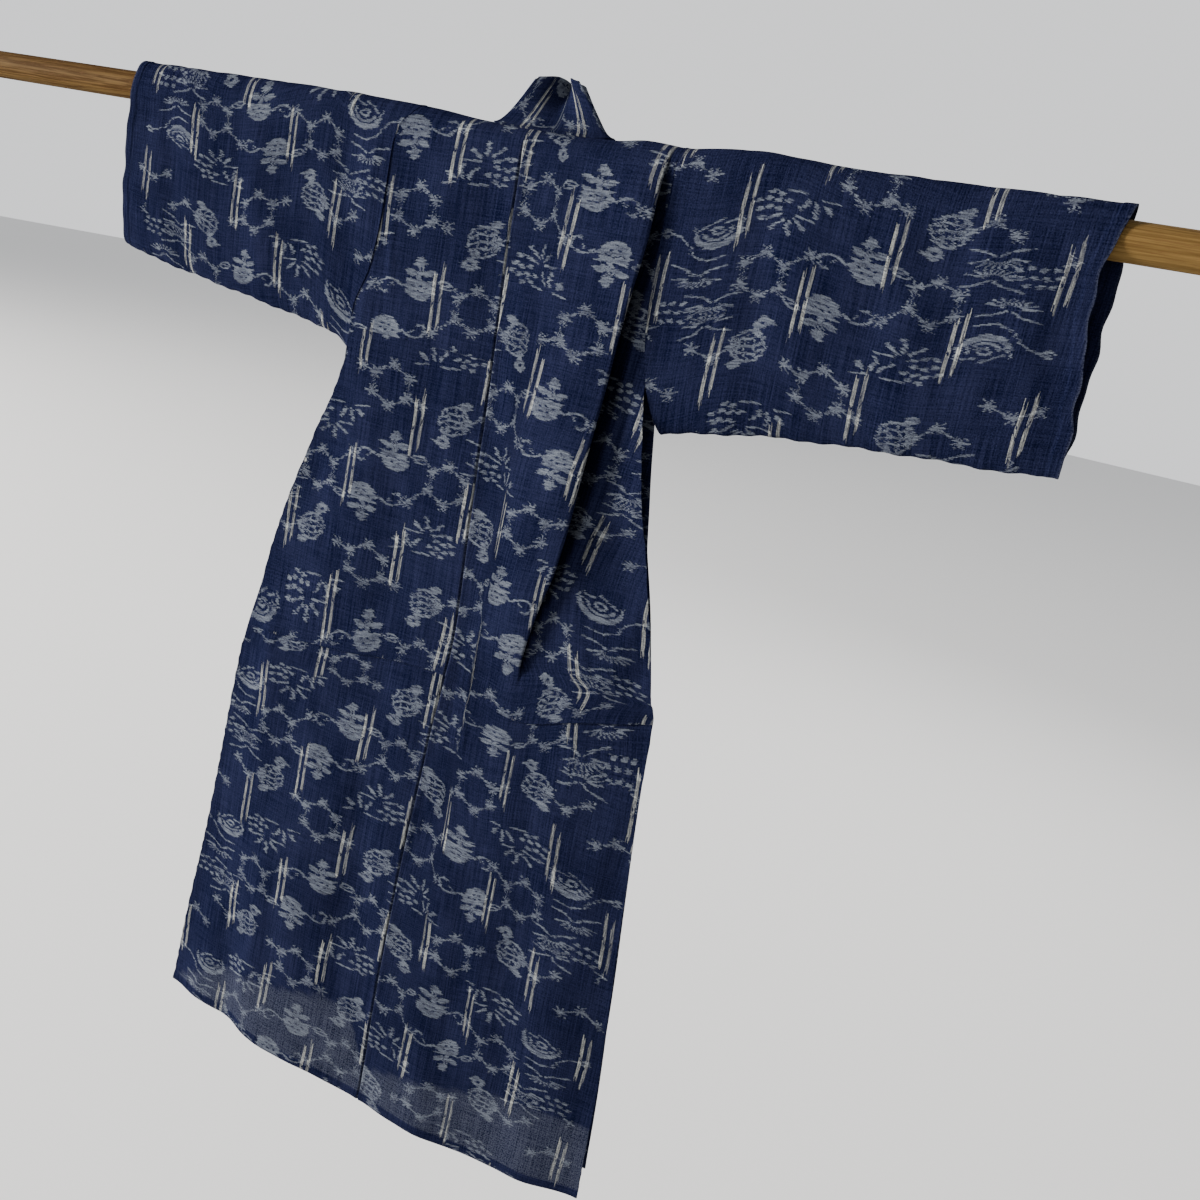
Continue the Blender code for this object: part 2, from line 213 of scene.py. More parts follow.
class Wave(NamedTuple):
    """One wave of the cloth's waviness: turns in radians a metre, its phase and its share."""

    across: float
    along: float
    phase: float
    size: float


def table(kind: type, *rows: tuple) -> tuple:
    """Return a table whose rows have the columns of their kind."""
    return tuple(kind(*row) for row in rows)


SIDES = table(
    Side, (0.016, -0.117, 0.1465), (0.003, -0.131, 0.1465), (-0.02, -0.137, 0.147),
    (-0.074, -0.137, 0.148), (-0.125, -0.142, 0.151), (-0.17, -0.157, 0.1595), (-0.209, -0.159, 0.167),
    (-0.25, -0.1695, 0.175), (-0.31, -0.196, 0.19), (-0.378, -0.216, 0.2105), (-0.458, -0.234, 0.229),
    (-0.55, -0.251, 0.238), (-0.7, -0.26, 0.252), (-0.85, -0.274, 0.264), (-0.984, -0.287, 0.27),
)
SLEEVE_ROOTS = table(
    Side, (-0.17, -0.157, 0.1595), (-0.19, -0.159, 0.1675), (-0.209, -0.162, 0.1785),
)
CUFFS = table(
    Cuff, (0.024, -0.482, -0.482, 0.488, 0.488), (0, -0.483, -0.484, 0.485, 0.489),
    (-0.04, -0.486, -0.486, 0.48, 0.491), (-0.085, -0.486, -0.486, 0.485, 0.492),
    (-0.165, -0.485, -0.485, 0.494, 0.494),
)
RIDGES = table(
    Ridge, (-0.486, 0.009), (-0.3, 0.009), (-0.19, 0.0078), (-0.11, 0.0055), (-0.045, 0.0006),
    (0.08, 0.0006), (0.11, 0.0035), (0.145, 0.0025), (0.21, 0.008), (0.3, 0.0055), (0.42, 0.0072),
    (0.492, 0.009),
)
HANGS = table(
    Hang, (0, 0.015, 0.015, 0.015), (-0.06, 0.0149, 0.0174, 0.0151), (-0.12, 0.0144, 0.0217, 0.0153),
    (-0.2, 0.0126, 0.0222, 0.0151), (-0.32, 0.0095, 0.0212, 0.0141), (-0.45, 0.0072, 0.0207, 0.0136),
    (-0.6, 0.0095, 0.0212, 0.0141), (-0.75, 0.013, 0.0217, 0.0146), (-0.984, 0.0162, 0.0227, 0.0156),
)
SLIT_GAPS = table(
    Gap, (-0.17, 0.012), (-0.22, 0.0105), (-0.27, 0.0075), (-0.31, 0.0008),
)
SEAM_LINES = table(
    Side, (-0.2, 0, 0), (-0.4, 0, 0.001), (-0.7, -0.001, 0.003), (-0.984, -0.002, 0.006),
)
BACK_SEAM = table(
    Spot, (0.016, 0), (-0.12, 0.005), (-0.3, 0.012), (-0.45, 0.0175), (-0.56, 0.011), (-0.7, 0.007),
    (-0.984, 0.008),
)
BACK_HEM = table(
    Hem, (-0.287, -0.001, 0, 0), (-0.1, 0.003, 0, 0), (0.06, 0.004, 0, 0), (0.16, 0.01, 0, 0),
    (0.27, 0.026, 0, 0),
)
FRONT_HEM = table(
    Hem, (-0.287, 0, 0.002, 0.009), (-0.236, 0, 0.023, 0.009), (-0.147, 0, 0.049, 0.009),
    (-0.06, 0, 0.067, 0.009), (0.01, 0, 0.07, 0.017), (0.091, 0, 0.066, 0.038),
    (0.176, 0, 0.066, 0.062), (0.27, 0, 0.066, 0.06),
)
SWELLS = table(
    Swell, (-0.115, 0.09, 0.008, -0.45), (-0.205, 0.055, -0.006, -0.6), (0.165, 0.095, -0.0115, -0.5),
)
PLEATS = table(
    Pleat, (0.016, 0.1385, 0, 0, 0.001, 0), (0, 0.1388, 0.0005, 60, 0.001, 0.004),
    (-0.022, 0.1392, 0.003, 150, 0.0012, 0.009), (-0.05, 0.1394, 0.007, 158, 0.0014, 0.012),
    (-0.11, 0.1353, 0.012, 155, 0.0015, 0.012), (-0.17, 0.1307, 0.015, 153, 0.0015, 0.012),
    (-0.26, 0.1237, 0.016, 152, 0.0014, 0.011), (-0.345, 0.1157, 0.014, 157, 0.0013, 0.007),
    (-0.39, 0.1051, 0.01, 160, 0.0012, 0.005), (-0.44, 0.0968, 0.004, 160, 0.001, 0.002),
    (-0.452, 0.0956, 0.0005, 60, 0.0008, 0.0008), (-0.462, 0.0948, 0, 0, 0.0008, 0),
    (-0.984, 0.0915, 0, 0, 0.001, 0),
)
# Where the loom's middle lies across the right back, and how much cloth the second pleat hides
LOOM_MIDDLE = table(
    Spot, (0.016, 0.099), (-0.143, 0.0975), (-0.2, 0.094), (-0.258, 0.0835), (-0.32, 0.078),
    (-0.4, 0.07), (-0.5, 0.07), (-0.575, 0.073), (-0.65, 0.083), (-0.76, 0.0875), (-0.85, 0.0905),
    (-0.984, 0.0905),
)
PLEAT_HIDDEN = table(
    Spot, (0.016, 0.015), (-0.17, 0.013), (-0.23, 0.022), (-0.33, 0.031), (-0.58, 0.031),
    (-0.66, 0.024), (-0.78, 0.015), (-0.984, 0.006),
)
SLEEVE_DROPS = table(
    Drop, (0, 0.209, 0.209), (0.08, 0.196, 0.203), (0.3, 0.187, 0.189), (0.6, 0.177, 0.178),
    (0.9, 0.166, 0.17), (1, 0.159, 0.166),
)
SLEEVE_SLIPS = table(
    Slip, (0.13, -0.004, -0.012), (0.175, -0.004, -0.012), (0.192, -0.001, -0.009),
    (0.22, 0.006, -0.002), (0.245, 0.002, 0), (0.29, -0.009, -0.011), (0.32, -0.014, -0.017),
    (0.355, -0.018, -0.023), (0.376, -0.016, -0.026), (0.42, -0.01, -0.02), (0.49, -0.01, -0.016),
)
NECK_SIDE = table(
    Spot, (0, 0.0605), (-0.05, 0.0595), (-0.11, 0.0565), (-0.17, 0.05),
)
OVERLAP_SEAM = table(
    Spot, (-0.17, 0.05), (-0.31, 0.058), (-0.984, 0.0815),
)
OVERLAP_EDGE = table(
    Spot, (-0.17, 0.0488), (-0.275, 0.008), (-0.5, -0.0735), (-0.984, -0.078),
)
NECK_ROUND = table(
    Round, (62, 0.048), (68, 0.0555), (78, 0.0592), (90, 0.0605), (180, 0.0605),
)
LEANS = table(
    Lean, (58, 0, 0.5, 0.85), (62, 0.55, 0.05, 0.83), (68, 0.64, 0.02, 0.77), (90, 0.7, 0.02, 0.71),
    (130, 0.85, 0.18, 0.5), (180, 0.96, 0.1, 0.24),
)
# The sewn tuck across the waist, and the line below which one layer hangs alone
TUCK_LINE = table(
    Level, (-0.26, -0.522), (-0.125, -0.506), (0.012, -0.486), (0.045, -0.494), (0.1, -0.502),
    (0.163, -0.481), (0.235, -0.458),
)
SINGLE_LAYER = table(
    Level, (-0.287, -0.977), (-0.271, -0.968), (-0.2015, -0.9244), (-0.117, -0.8995), (-0.042, -0.8822),
    (-0.02, -0.89), (0.01, -0.937), (0.034, -0.9302), (0.1106, -0.9101), (0.192, -0.8856),
    (0.261, -0.8763),
)
BACK_CREASES = table(
    Crease, (-0.108, -0.182, -0.018, -0.188, 0.0012, 0.0011, Fold.LEDGE),
    (0.133, -0.184, 0.166, -0.189, 0.0012, 0.0011, Fold.LEDGE),
    (-0.13, -0.06, -0.112, -0.165, 0.005, 0.0012), (-0.15, -0.215, -0.09, -0.235, 0.005, -0.0014),
    (-0.178, -0.262, -0.12, -0.285, 0.006, 0.0012), (-0.19, -0.3, -0.15, -0.42, 0.009, -0.0016),
    (-0.218, -0.47, -0.19, -0.64, 0.011, 0.0017), (0.046, -0.405, 0.043, -0.5, 0.0012, 0.0012),
    (0.043, -0.49, 0.052, -0.56, 0.0013, 0.0011), (0.03, -0.42, 0.03, -0.56, 0.006, -0.001),
    (0.028, -0.06, 0.038, -0.33, 0.012, 0.0011), (-0.06, -0.05, -0.05, -0.3, 0.014, -0.001),
    (0.205, -0.33, 0.17, -0.48, 0.008, 0.0014), (0.215, -0.4, 0.2, -0.455, 0.0045, -0.0012),
    (0.225, -0.52, 0.205, -0.7, 0.012, 0.0016), (0.09, -0.56, 0.105, -0.96, 0.017, -0.0018),
    (-0.06, -0.56, -0.045, -0.97, 0.016, -0.0016), (-0.16, -0.64, -0.165, -0.975, 0.014, 0.0016),
)
WAVES = table(
    Wave, (61, 9, 0.3, 1), (37, -14, 2.1, 0.9), (23, 31, 4.4, 0.7), (103, 17, 1.2, 0.45),
    (71, -53, 5, 0.35), (149, 41, 3.3, 0.22),
)


def ease(share: Any) -> Any:
    """Return a smooth 0 to 1 for a share that runs from 0 to 1."""
    share = np.clip(share, 0.0, 1.0)
    return share * share * (3.0 - 2.0 * share)


class Curve:
    """A smooth curve through one column of a table, read for whole arrays."""

    def __init__(self, rows: Sequence[Any], key: str, column: str) -> None:
        """Work out the slopes at the rows.

        Args:
            rows: the table's rows.
            key: the column that the curve is read along.
            column: the column that it gives.
        """
        ordered = sorted(rows, key=lambda row: getattr(row, key))
        self.keys = np.array([getattr(row, key) for row in ordered], float)
        self.values = np.array([getattr(row, column) for row in ordered], float)
        rises = np.diff(self.values) / np.diff(self.keys)
        before, after = rises[:-1], rises[1:]
        level = before * after <= 0
        total = np.where(level, 1.0, before + after)
        inner = np.where(level, 0.0, 2.0 * before * after / total)
        self.slopes = np.concatenate((rises[:1], inner, rises[-1:]))

    def __call__(self, at: Any) -> Array:
        """Return the column's values, held at its ends.

        Args:
            at: keys to read it at.

        Returns:
            The values.
        """
        at = np.clip(np.asarray(at, float), self.keys[0], self.keys[-1])
        spot = np.clip(np.searchsorted(self.keys, at, side="right") - 1, 0, len(self.keys) - 2)
        step = self.keys[spot + 1] - self.keys[spot]
        share = (at - self.keys[spot]) / step
        square, cube = share ** 2, share ** 3
        return ((2 * cube - 3 * square + 1) * self.values[spot]
                + (cube - 2 * square + share) * step * self.slopes[spot]
                + (3 * square - 2 * cube) * self.values[spot + 1]
                + (cube - square) * step * self.slopes[spot + 1])


@dataclass(frozen=True)
class Station:
    """One row across the cloth: where it lies, and how far along the cloth it is."""

    face: Face
    height: float
    angle: float
    run: float


@dataclass
class Drape:
    """How the garment hangs on its pole."""

    ride: float = 0.0150
    hem_length: float = 0.984
    armhole_drop: float = 0.170
    sleeve_drop: float = 0.209
    side_blend: float = 0.085
    hem_zone: float = -0.770
    ridge_sharpness: int = 4
    sleeve_rounding: int = 5
    neck_angle: float = 58.0
    neck_middle: float = 0.0175
    seam_gap: float = 0.0003
    tuck_height: float = -0.490
    tuck_zone: float = 0.060

    def __post_init__(self) -> None:
        """Make the curves that the tables give."""
        self.ridge = Curve(RIDGES, "place", "rise")
        self.side = {half: Curve(SIDES, "height", half.key) for half in Half}
        self.seam_line = {half: Curve(SEAM_LINES, "height", half.key) for half in Half}
        self.hang_back = Curve(HANGS, "height", "back")
        self.hang_front = {half: Curve(HANGS, "height", "front_" + half.key) for half in Half}
        self.slit = Curve(SLIT_GAPS, "height", "half_gap")
        self.back_seam = Curve(BACK_SEAM, "height", "place")
        self.back_hem = Curve(BACK_HEM, "place", "back")
        self.front_hem = {half: Curve(FRONT_HEM, "place", half.key) for half in Half}
        self.neck_side = Curve(NECK_SIDE, "height", "place")
        self.overlap_seam = Curve(OVERLAP_SEAM, "height", "place")
        self.overlap_edge = Curve(OVERLAP_EDGE, "height", "place")
        self.neck_round = Curve(NECK_ROUND, "angle", "place")
        self.tuck_line = Curve(TUCK_LINE, "place", "height")

    def crown_reach(self, place: Array, angle: Array) -> Array:
        """Return how far from the pole's axis the cloth passes over it.

        Args:
            place: places across the garment.
            angle: turns round the pole in radians, 0 at the back.

        Returns:
            The distances from the pole's axis.
        """
        return self.ride + self.ridge(place) * np.sin(angle) ** self.ridge_sharpness

    def sleeve_half_gap(self, height: Array, drop: Array) -> Array:
        """Return half the gap between a sleeve's layers at a height, closed at its drop."""
        share = np.clip(-np.asarray(height, float) / drop, 0.0, 1.0)
        return self.ride * np.sqrt(1.0 - share ** self.sleeve_rounding)

    def side_half_gap(self, height: Array) -> Array:
        """Return half the gap between back and front at the body's outer edge.

        Args:
            height: heights.

        Returns:
            The half gaps.
        """
        height = np.asarray(height, float)
        under_arm = self.sleeve_half_gap(np.minimum(height, 0.0), self.sleeve_drop)
        return np.where(height > -self.armhole_drop, under_arm, self.slit(height))

    def swell(self, place: Array, height: Array) -> Array:
        """Return how far the back stands out beyond its plain hang.

        Args:
            place: places across.
            height: heights.

        Returns:
            The distances.
        """
        total = np.zeros(np.broadcast(place, height).shape)
        for wave in SWELLS:
            across = 1.0 - np.abs(place - wave.middle) / wave.half_width
            down = (height - wave.start) / (-self.hem_length - wave.start)
            total = total + wave.push * ease(across) * ease(down)
        return total

    def hang(self, half: Half, face: Face, place: Array, height: Array) -> Array:
        """Return how far along Y the body's cloth hangs.

        Args:
            half: the side of the garment.
            face: back or front.
            place: places across.
            height: heights.

        Returns:
            The distances along Y.
        """
        if face is Face.BACK:
            inner = -self.hang_back(height) - self.swell(place, height)
            away = -1
        else:
            inner = self.hang_front[half](height)
            away = 1
        outer = self.seam_line[half](height) + away * self.side_half_gap(height)
        from_side = np.abs(self.side[half](height) - place)
        return outer + (inner - outer) * ease(from_side / self.side_blend)

    def put(self, half: Half, station: Station, place: Array, lift: Array) -> Array:
        """Return points of the body's cloth, lifted off its plain surface.

        Args:
            half: the side of the garment.
            station: the row.
            place: places across the row.
            lift: how far each point stands off the plain surface.

        Returns:
            The points, one row of three numbers for each place.
        """
        place = np.asarray(place, float)
        if station.face is Face.CROWN:
            angle = math.radians(station.angle)
            reach = self.crown_reach(place, angle) + lift
            return np.stack((place, -reach * math.cos(angle), reach * math.sin(angle)), -1)
        height = np.full(place.shape, station.height)
        if station.height < self.hem_zone:
            rise = self.back_hem(place) if station.face is Face.BACK else self.front_hem[half](place)
            height = height + rise * (self.hem_zone - height) / (self.hem_zone + self.hem_length)
        elif station.face is Face.BACK:
            near = ease(1.0 - np.abs(height - self.tuck_height) / self.tuck_zone)
            height = height + (self.tuck_line(place) - self.tuck_height) * near
        away = -1 if station.face is Face.BACK else 1
        depth = self.hang(half, station.face, place, height) + away * lift
        return np.stack((place, depth, height), -1)

    def inner_edge(self, half: Half, station: Station) -> float:
        """Return where a body half begins: centre-back seam, neck, or front edge.

        Args:
            half: the side of the garment.
            station: the row.

        Returns:
            The place across.
        """
        side = half.value
        if station.face is Face.BACK or (station.face is Face.CROWN and station.angle <= self.neck_angle):
            return float(self.back_seam(station.height)) + side * self.seam_gap / 2
        if station.face is Face.CROWN:
            return self.neck_middle + side * float(self.neck_round(station.angle))
        table = self.neck_side if station.height > -self.armhole_drop else self.overlap_seam
        return self.neck_middle + side * float(table(station.height))

    def crown_station(self, angle: float) -> Station:
        """Return the row at an angle over the pole, 0 at the back."""
        turned = math.radians(angle)
        return Station(Face.CROWN, self.ride * math.sin(turned), angle, self.ride * (math.pi / 2 - turned))

    def hanging_station(self, face: Face, height: float) -> Station:
        """Return the row at a height down the back or the front."""
        run = self.ride * math.pi / 2 - height
        return Station(face, height, 0.0, run) if face is Face.BACK else Station(face, height, 180.0, -run)


def creases_at(creases: Iterable[Crease], x: Array, z: Array) -> Array:
    """Return how far a set of creases lifts the cloth.

    Args:
        creases: the creases of a panel.
        x: places across.
        z: heights.

    Returns:
        The lift at each point.
    """
    end_share, ledge_reach = 0.25, 0.018
    total = np.zeros(np.broadcast(x, z).shape)
    for crease in creases:
        run_x, run_z = crease.x1 - crease.x0, crease.z1 - crease.z0
        length = math.hypot(run_x, run_z)
        share = ((x - crease.x0) * run_x + (z - crease.z0) * run_z) / length ** 2
        off = ((x - crease.x0) * run_z - (z - crease.z0) * run_x) / length
        fade = ease(share / end_share) * ease((1.0 - share) / end_share)
        if crease.kind is Fold.RIDGE:
            total = total + crease.push * fade * np.exp(-(off / crease.width) ** 2)
        else:
            above = 0.5 - 0.5 * np.tanh(off / crease.width)
            total = total + crease.push * fade * above * np.exp(-np.maximum(-off, 0.0) / ledge_reach)
    return total


def ripple(x: Array, z: Array, push: float = 0.0007) -> Array:
    """Return the soft, uneven waviness that hanging cloth keeps.

    Args:
        x: places across.
        z: heights.
        push: the size of its largest wave.

    Returns:
        The lift at each point.
    """
    total = np.zeros(np.broadcast(x, z).shape)
    for wave in WAVES:
        bend = 1.3 * np.sin(7.0 * z + wave.phase)
        total = total + wave.size * np.sin(wave.across * x + wave.along * z + wave.phase + bend)
    return push * total


def shell(name: str, middle: Array, thick: Array, cut: Array, ring: bool = False) -> bpy.types.Object:
    """Make a closed thin shell of cloth round a grid of points.

    Args:
        name: the object's name.
        middle: the grid of points, rows by columns by three.
        thick: the cloth's thickness at each point.
        cut: the place of each point on the flat cloth, and a third number: above 0 it is painted light
            where one layer lets light through and paleness where the cloth is rubbed, below 0 it is painted
            shade deep in a fold.
        ring: whether the columns close into a ring.

    Returns:
        The new object.
    """
    rows, columns = middle.shape[:2]
    along = np.gradient(middle, axis=0)
    if ring:
        across = (np.roll(middle, -1, 1) - np.roll(middle, 1, 1)) / 2
    else:
        across = np.gradient(middle, axis=1)
    normal = np.cross(along, across)
    normal /= np.maximum(np.linalg.norm(normal, axis=-1, keepdims=True), 1e-12)
    offset = normal * (thick / 2)[..., None]
    points = np.concatenate(((middle + offset).reshape(-1, 3), (middle - offset).reshape(-1, 3)))
    index = np.arange(rows * columns).reshape(rows, columns)
    if ring:
        index = np.concatenate((index, index[:, :1]), 1)
    quads = np.stack((index[:-1, :-1], index[1:, :-1], index[1:, 1:], index[:-1, 1:]), -1).reshape(-1, 4)
    lower = rows * columns
    faces = [quads, quads[:, ::-1] + lower]
    rims = [index[0, ::-1], index[-1]]
    if not ring:
        rims += [index[:, 0], index[::-1, -1]]
    for rim in rims:
        faces.append(np.stack((rim[:-1], rim[:-1] + lower, rim[1:] + lower, rim[1:]), -1))
    mesh = bpy.data.meshes.new(name)
    mesh.from_pydata(points.tolist(), [], np.concatenate(faces).tolist())
    built = bmesh.new()
    built.from_mesh(mesh)
    bmesh.ops.recalc_face_normals(built, faces=built.faces)
    built.to_mesh(mesh)
    built.free()
    mesh.attributes.new("cut", "FLOAT_VECTOR", "POINT")
    doubled = np.concatenate((cut.reshape(-1, 3), cut.reshape(-1, 3)))
    mesh.attributes["cut"].data.foreach_set("vector", doubled.astype(np.float32).ravel())
    mesh.shade_smooth()
    mesh.set_sharp_from_angle(angle=math.radians(62))
    made = bpy.data.objects.new(name, mesh)
    bpy.context.scene.collection.objects.link(made)
    return made


class Wire:
    """A number in a material: a socket that takes part in sums."""

    def __init__(self, recipe: "Recipe", socket: bpy.types.NodeSocket) -> None:
        """Keep the material's recipe and the socket."""
        self.recipe = recipe
        self.socket = socket

    def math(self, operation: str, *others: Any) -> "Wire":
        """Return this number put through one Math node.

        Args:
            operation: the Math node's operation.
            others: the node's other numbers.

        Returns:
            The result.
        """
        made = self.recipe.node("ShaderNodeMath", {"operation": operation},
                                dict(enumerate((self, *others))))
        return Wire(self.recipe, made.outputs[0])

    def __add__(self, other: Any) -> "Wire":
        """Return the sum."""
        return self.math("ADD", other)

    __radd__ = __add__

    def __sub__(self, other: Any) -> "Wire":
        """Return the difference."""
        return self.math("SUBTRACT", other)

    def __rsub__(self, other: Any) -> "Wire":
        """Return the difference from a number."""
        return (self * -1.0) + other

    def __mul__(self, other: Any) -> "Wire":
        """Return the product."""
        return self.math("MULTIPLY", other)

    __rmul__ = __mul__

    def __truediv__(self, other: Any) -> "Wire":
        """Return the quotient."""
        return self.math("DIVIDE", other)

    def __mod__(self, other: Any) -> "Wire":
        """Return the remainder, never below 0."""
        return self.math("FLOORED_MODULO", other)

    def __abs__(self) -> "Wire":
        """Return the size of the number."""
        return self.math("ABSOLUTE")

    def __lt__(self, other: Any) -> "Wire":
        """Return 1 where this is less, else 0."""
        return self.math("LESS_THAN", other)

    def __gt__(self, other: Any) -> "Wire":
        """Return 1 where this is more, else 0."""
        return self.math("GREATER_THAN", other)

    def floor(self) -> "Wire":
        """Return the whole number below."""
        return self.math("FLOOR")

    def sine(self) -> "Wire":
        """Return the sine."""
        return self.math("SINE")

    def most(self, other: Any) -> "Wire":
        """Return the larger of two."""
        return self.math("MAXIMUM", other)

    def spread(self, low: float, high: float, to_low: float = 0.0, to_high: float = 1.0) -> "Wire":
        """Return the number moved smoothly from one range to another, held at its ends.

        Args:
            low: where the old range starts.
            high: where it ends.
            to_low: where the new range starts.
            to_high: where it ends.

        Returns:
            The number in the new range.
        """
        made = self.recipe.node("ShaderNodeMapRange", {"interpolation_type": "SMOOTHSTEP"},
                                {"Value": self, "From Min": low, "From Max": high,
                                 "To Min": to_low, "To Max": to_high})
        return Wire(self.recipe, made.outputs["Result"])


class Recipe:
    """The nodes of one material, ending in one Principled shader."""

    def __init__(self, name: str) -> None:
        """Start a material with a Principled shader."""
        self.material = bpy.data.materials.new(name)
        self.material.use_nodes = True
        self.tree = self.material.node_tree
        self.shader = self.tree.nodes["Principled BSDF"]

    def node(self, kind: str, settings: dict, inputs: dict) -> bpy.types.Node:
        """Add any node.

        Args:
            kind: the node's type.
            settings: what is set first, such as an operation, or a ramp's stops.
            inputs: numbers, tuples, wires or sockets by the input's name or number.

        Returns:
            The new node.
        """
        made = self.tree.nodes.new(kind)
        for name, value in settings.items():
            if name == "stops":
                self.set_stops(made.color_ramp, value)
            else:
                setattr(made, name, value)
        for name, value in inputs.items():
            self.feed(made.inputs[name], value)
        return made

    @staticmethod
    def set_stops(ramp: bpy.types.ColorRamp, stops: Sequence[tuple]) -> None:
        """Set a ramp's stops, held flat from one to the next.

        Args:
            ramp: the ramp.
            stops: its positions and colours.
        """
        ramp.interpolation = "CONSTANT"
        while len(ramp.elements) > 1:
            ramp.elements.remove(ramp.elements[-1])
        ramp.elements[0].position, ramp.elements[0].color = stops[0]
        for position, colour in stops[1:]:
            ramp.elements.new(position).color = colour

    def feed(self, socket: bpy.types.NodeSocket, value: Any) -> None:
        """Link a wire or socket to an input, or set its value.

        Args:
            socket: the input.
            value: a wire, a socket or a plain value.
        """
        if isinstance(value, Wire):
            value = value.socket
        if isinstance(value, bpy.types.NodeSocket):
            self.tree.links.new(value, socket)
        else:
            socket.default_value = value

    def split(self, vector: bpy.types.NodeSocket) -> list:
        """Return a vector's three numbers."""
        parts = self.node("ShaderNodeSeparateXYZ", {}, {"Vector": vector})
        return [Wire(self, parts.outputs[axis]) for axis in "XYZ"]

    def noise(self, x: Any, y: Any, detail: float, z: Any) -> Wire:
        """Return smooth noise from 0 to 1.

        Args:
            x: the first coordinate, in units of the noise.
            y: the second.
            detail: the levels of finer noise.
            z: the third, or a shift that gives another noise.

        Returns:
            The noise.
        """
        place = self.node("ShaderNodeCombineXYZ", {}, {"X": x, "Y": y, "Z": z})
        made = self.node("ShaderNodeTexNoise", {},
                         {"Vector": place.outputs[0], "Scale": 1.0, "Detail": detail})
        return Wire(self, made.outputs["Fac"])

    def chance(self, x: Any, seed: float = 0.0) -> Wire:
        """Return a fixed random number from 0 to 1 for each whole number.

        Args:
            x: the whole number.
            seed: a shift that gives other numbers.

        Returns:
            The random number.
        """
        place = self.node("ShaderNodeCombineXYZ", {}, {"X": x, "Y": seed})
        made = self.node("ShaderNodeTexWhiteNoise", {"noise_dimensions": "2D"},
                         {"Vector": place.outputs[0]})
        return Wire(self, made.outputs["Value"])

    def mix(self, share: Any, first: Any, second: Any, blend: str = "MIX") -> bpy.types.NodeSocket:
        """Return two colours mixed by a share.

        Args:
            share: how much of the second.
            first: a colour or a socket.
            second: a colour or a socket.
            blend: the Mix node's way of blending.

        Returns:
            The mixed colour's socket.
        """
        made = self.node("ShaderNodeMix", {"data_type": "RGBA", "blend_type": blend},
                         {0: share, 6: first, 7: second})
        return made.outputs[2]

    def relief(self, height: Wire, strength: float) -> None:
        """Shape the surface by a height in metres, through a Bump node."""
        bump = self.node("ShaderNodeBump", {}, {"Height": height, "Distance": 1.0, "Strength": strength})
        self.feed(self.shader.inputs["Normal"], bump.outputs[0])


class SkyRecipe(Recipe):
    """The nodes of the world, ending in its Background shader."""

    def __init__(self, name: str) -> None:
        """Start a world with a Background shader."""
        self.world = bpy.data.worlds.new(name)
        self.world.use_nodes = True
        self.tree = self.world.node_tree
        self.shader = self.tree.nodes["Background"]


class Stroke(NamedTuple):
    """One mark of the weaver's chart, in millimetres, with V down the cloth.

    A mark with one point is a disc of two radii; with more it is a line of one width.
    """

    points: tuple
    width: float
    height: float = 0.0
    tilt: float = 0.0
    bare: bool = False


def disc(u: float, v: float, ru: float, rv: float, tilt: float = 0.0, bare: bool = False) -> Stroke:
    """Return a filled oval mark, or a hole where it is bare."""
    return Stroke(((u, v),), ru, rv, tilt, bare)


def line(width: float, *points: tuple) -> Stroke:
    """Return a line mark through these points."""
    return Stroke(points, width)


def placed(marks: Iterable[Stroke], u: float, v: float) -> list:
    """Return marks moved to a place on the chart."""
    return [mark._replace(points=tuple((x + u, y + v) for x, y in mark.points)) for mark in marks]


def star() -> list:
    """Return a six-armed knot of the tortoiseshell net."""
    return [
        line(2.1, (-6.6, 0.6), (6.6, -0.6)),
        line(2, (-3.6, -5), (3.4, 5)),
        line(2, (3.4, -4.8), (-3.4, 5)),
        disc(0, 0, 2.6, 1.9),
    ]


def chain(*knots: tuple) -> list:
    """Return knots joined one to the next."""
    marks = [mark for knot in knots for mark in placed(star(), *knot)]
    return [*marks, line(1.9, *knots)]


def hexagon(u: float, v: float, half: float, upper: float, side: float) -> list:
    """Return one cell of the tortoiseshell net.

    Args:
        u: its middle across.
        v: its middle down.
        half: half its width.
        upper: from its middle to its top and bottom knots.
        side: from its middle to its side knots.

    Returns:
        The marks.
    """
    knots = ((u, v - upper), (u + half, v - side), (u + half, v + side),
             (u, v + upper), (u - half, v + side), (u - half, v - side), (u, v - upper))
    return chain(*knots)


def purse() -> list:
    """Return a drawstring purse with its frilled top, one loop and one trailing cord."""
    return [
        disc(0, 4.5, 16.5, 11),
        disc(0, -9.6, 19, 7.6, 0, True),
        line(2.4, (-16.5, -2), (0, -1), (16.5, -3.5)),
        disc(-8, 3.2, 2.3, 0.9, 12, True),
        disc(-0.5, 2.4, 2.2, 0.9, 0, True),
        disc(7, 3.2, 2.3, 0.9, -12, True),
        disc(-4.2, 7.4, 2.4, 0.9, 6, True),
        disc(3.6, 7.6, 2.4, 0.9, -6, True),
        disc(-0.5, 11.4, 2, 0.7, 0, True),
        line(6, (-1, -2), (-2.2, -14)),
        disc(-2.6, -18, 5.6, 5.4),
        line(2, (-9, -15.5), (4, -17.5)),
        disc(-11.5, -8.4, 7.4, 3.4, 14),
        disc(8.6, -10.4, 8, 3.4, -12),
        disc(-2, -12, 1.3, 2.6, 0, True),
        disc(29.5, -2.5, 9.5, 4.4, 6),
        disc(30, -2.5, 6.8, 2.3, 6, True),
        line(1.6, (24, -2), (36, -3.4)),
        line(2.4, (-15, 3), (-20, 5.2), (-27, 2.2), (-34, 0.8), (-40, 2.2), (-45.5, 6.4),
             (-45, 11.6), (-40.5, 14.2), (-36.5, 12.6)),
        line(1.6, (-34, 8), (-30, 5)),
    ]


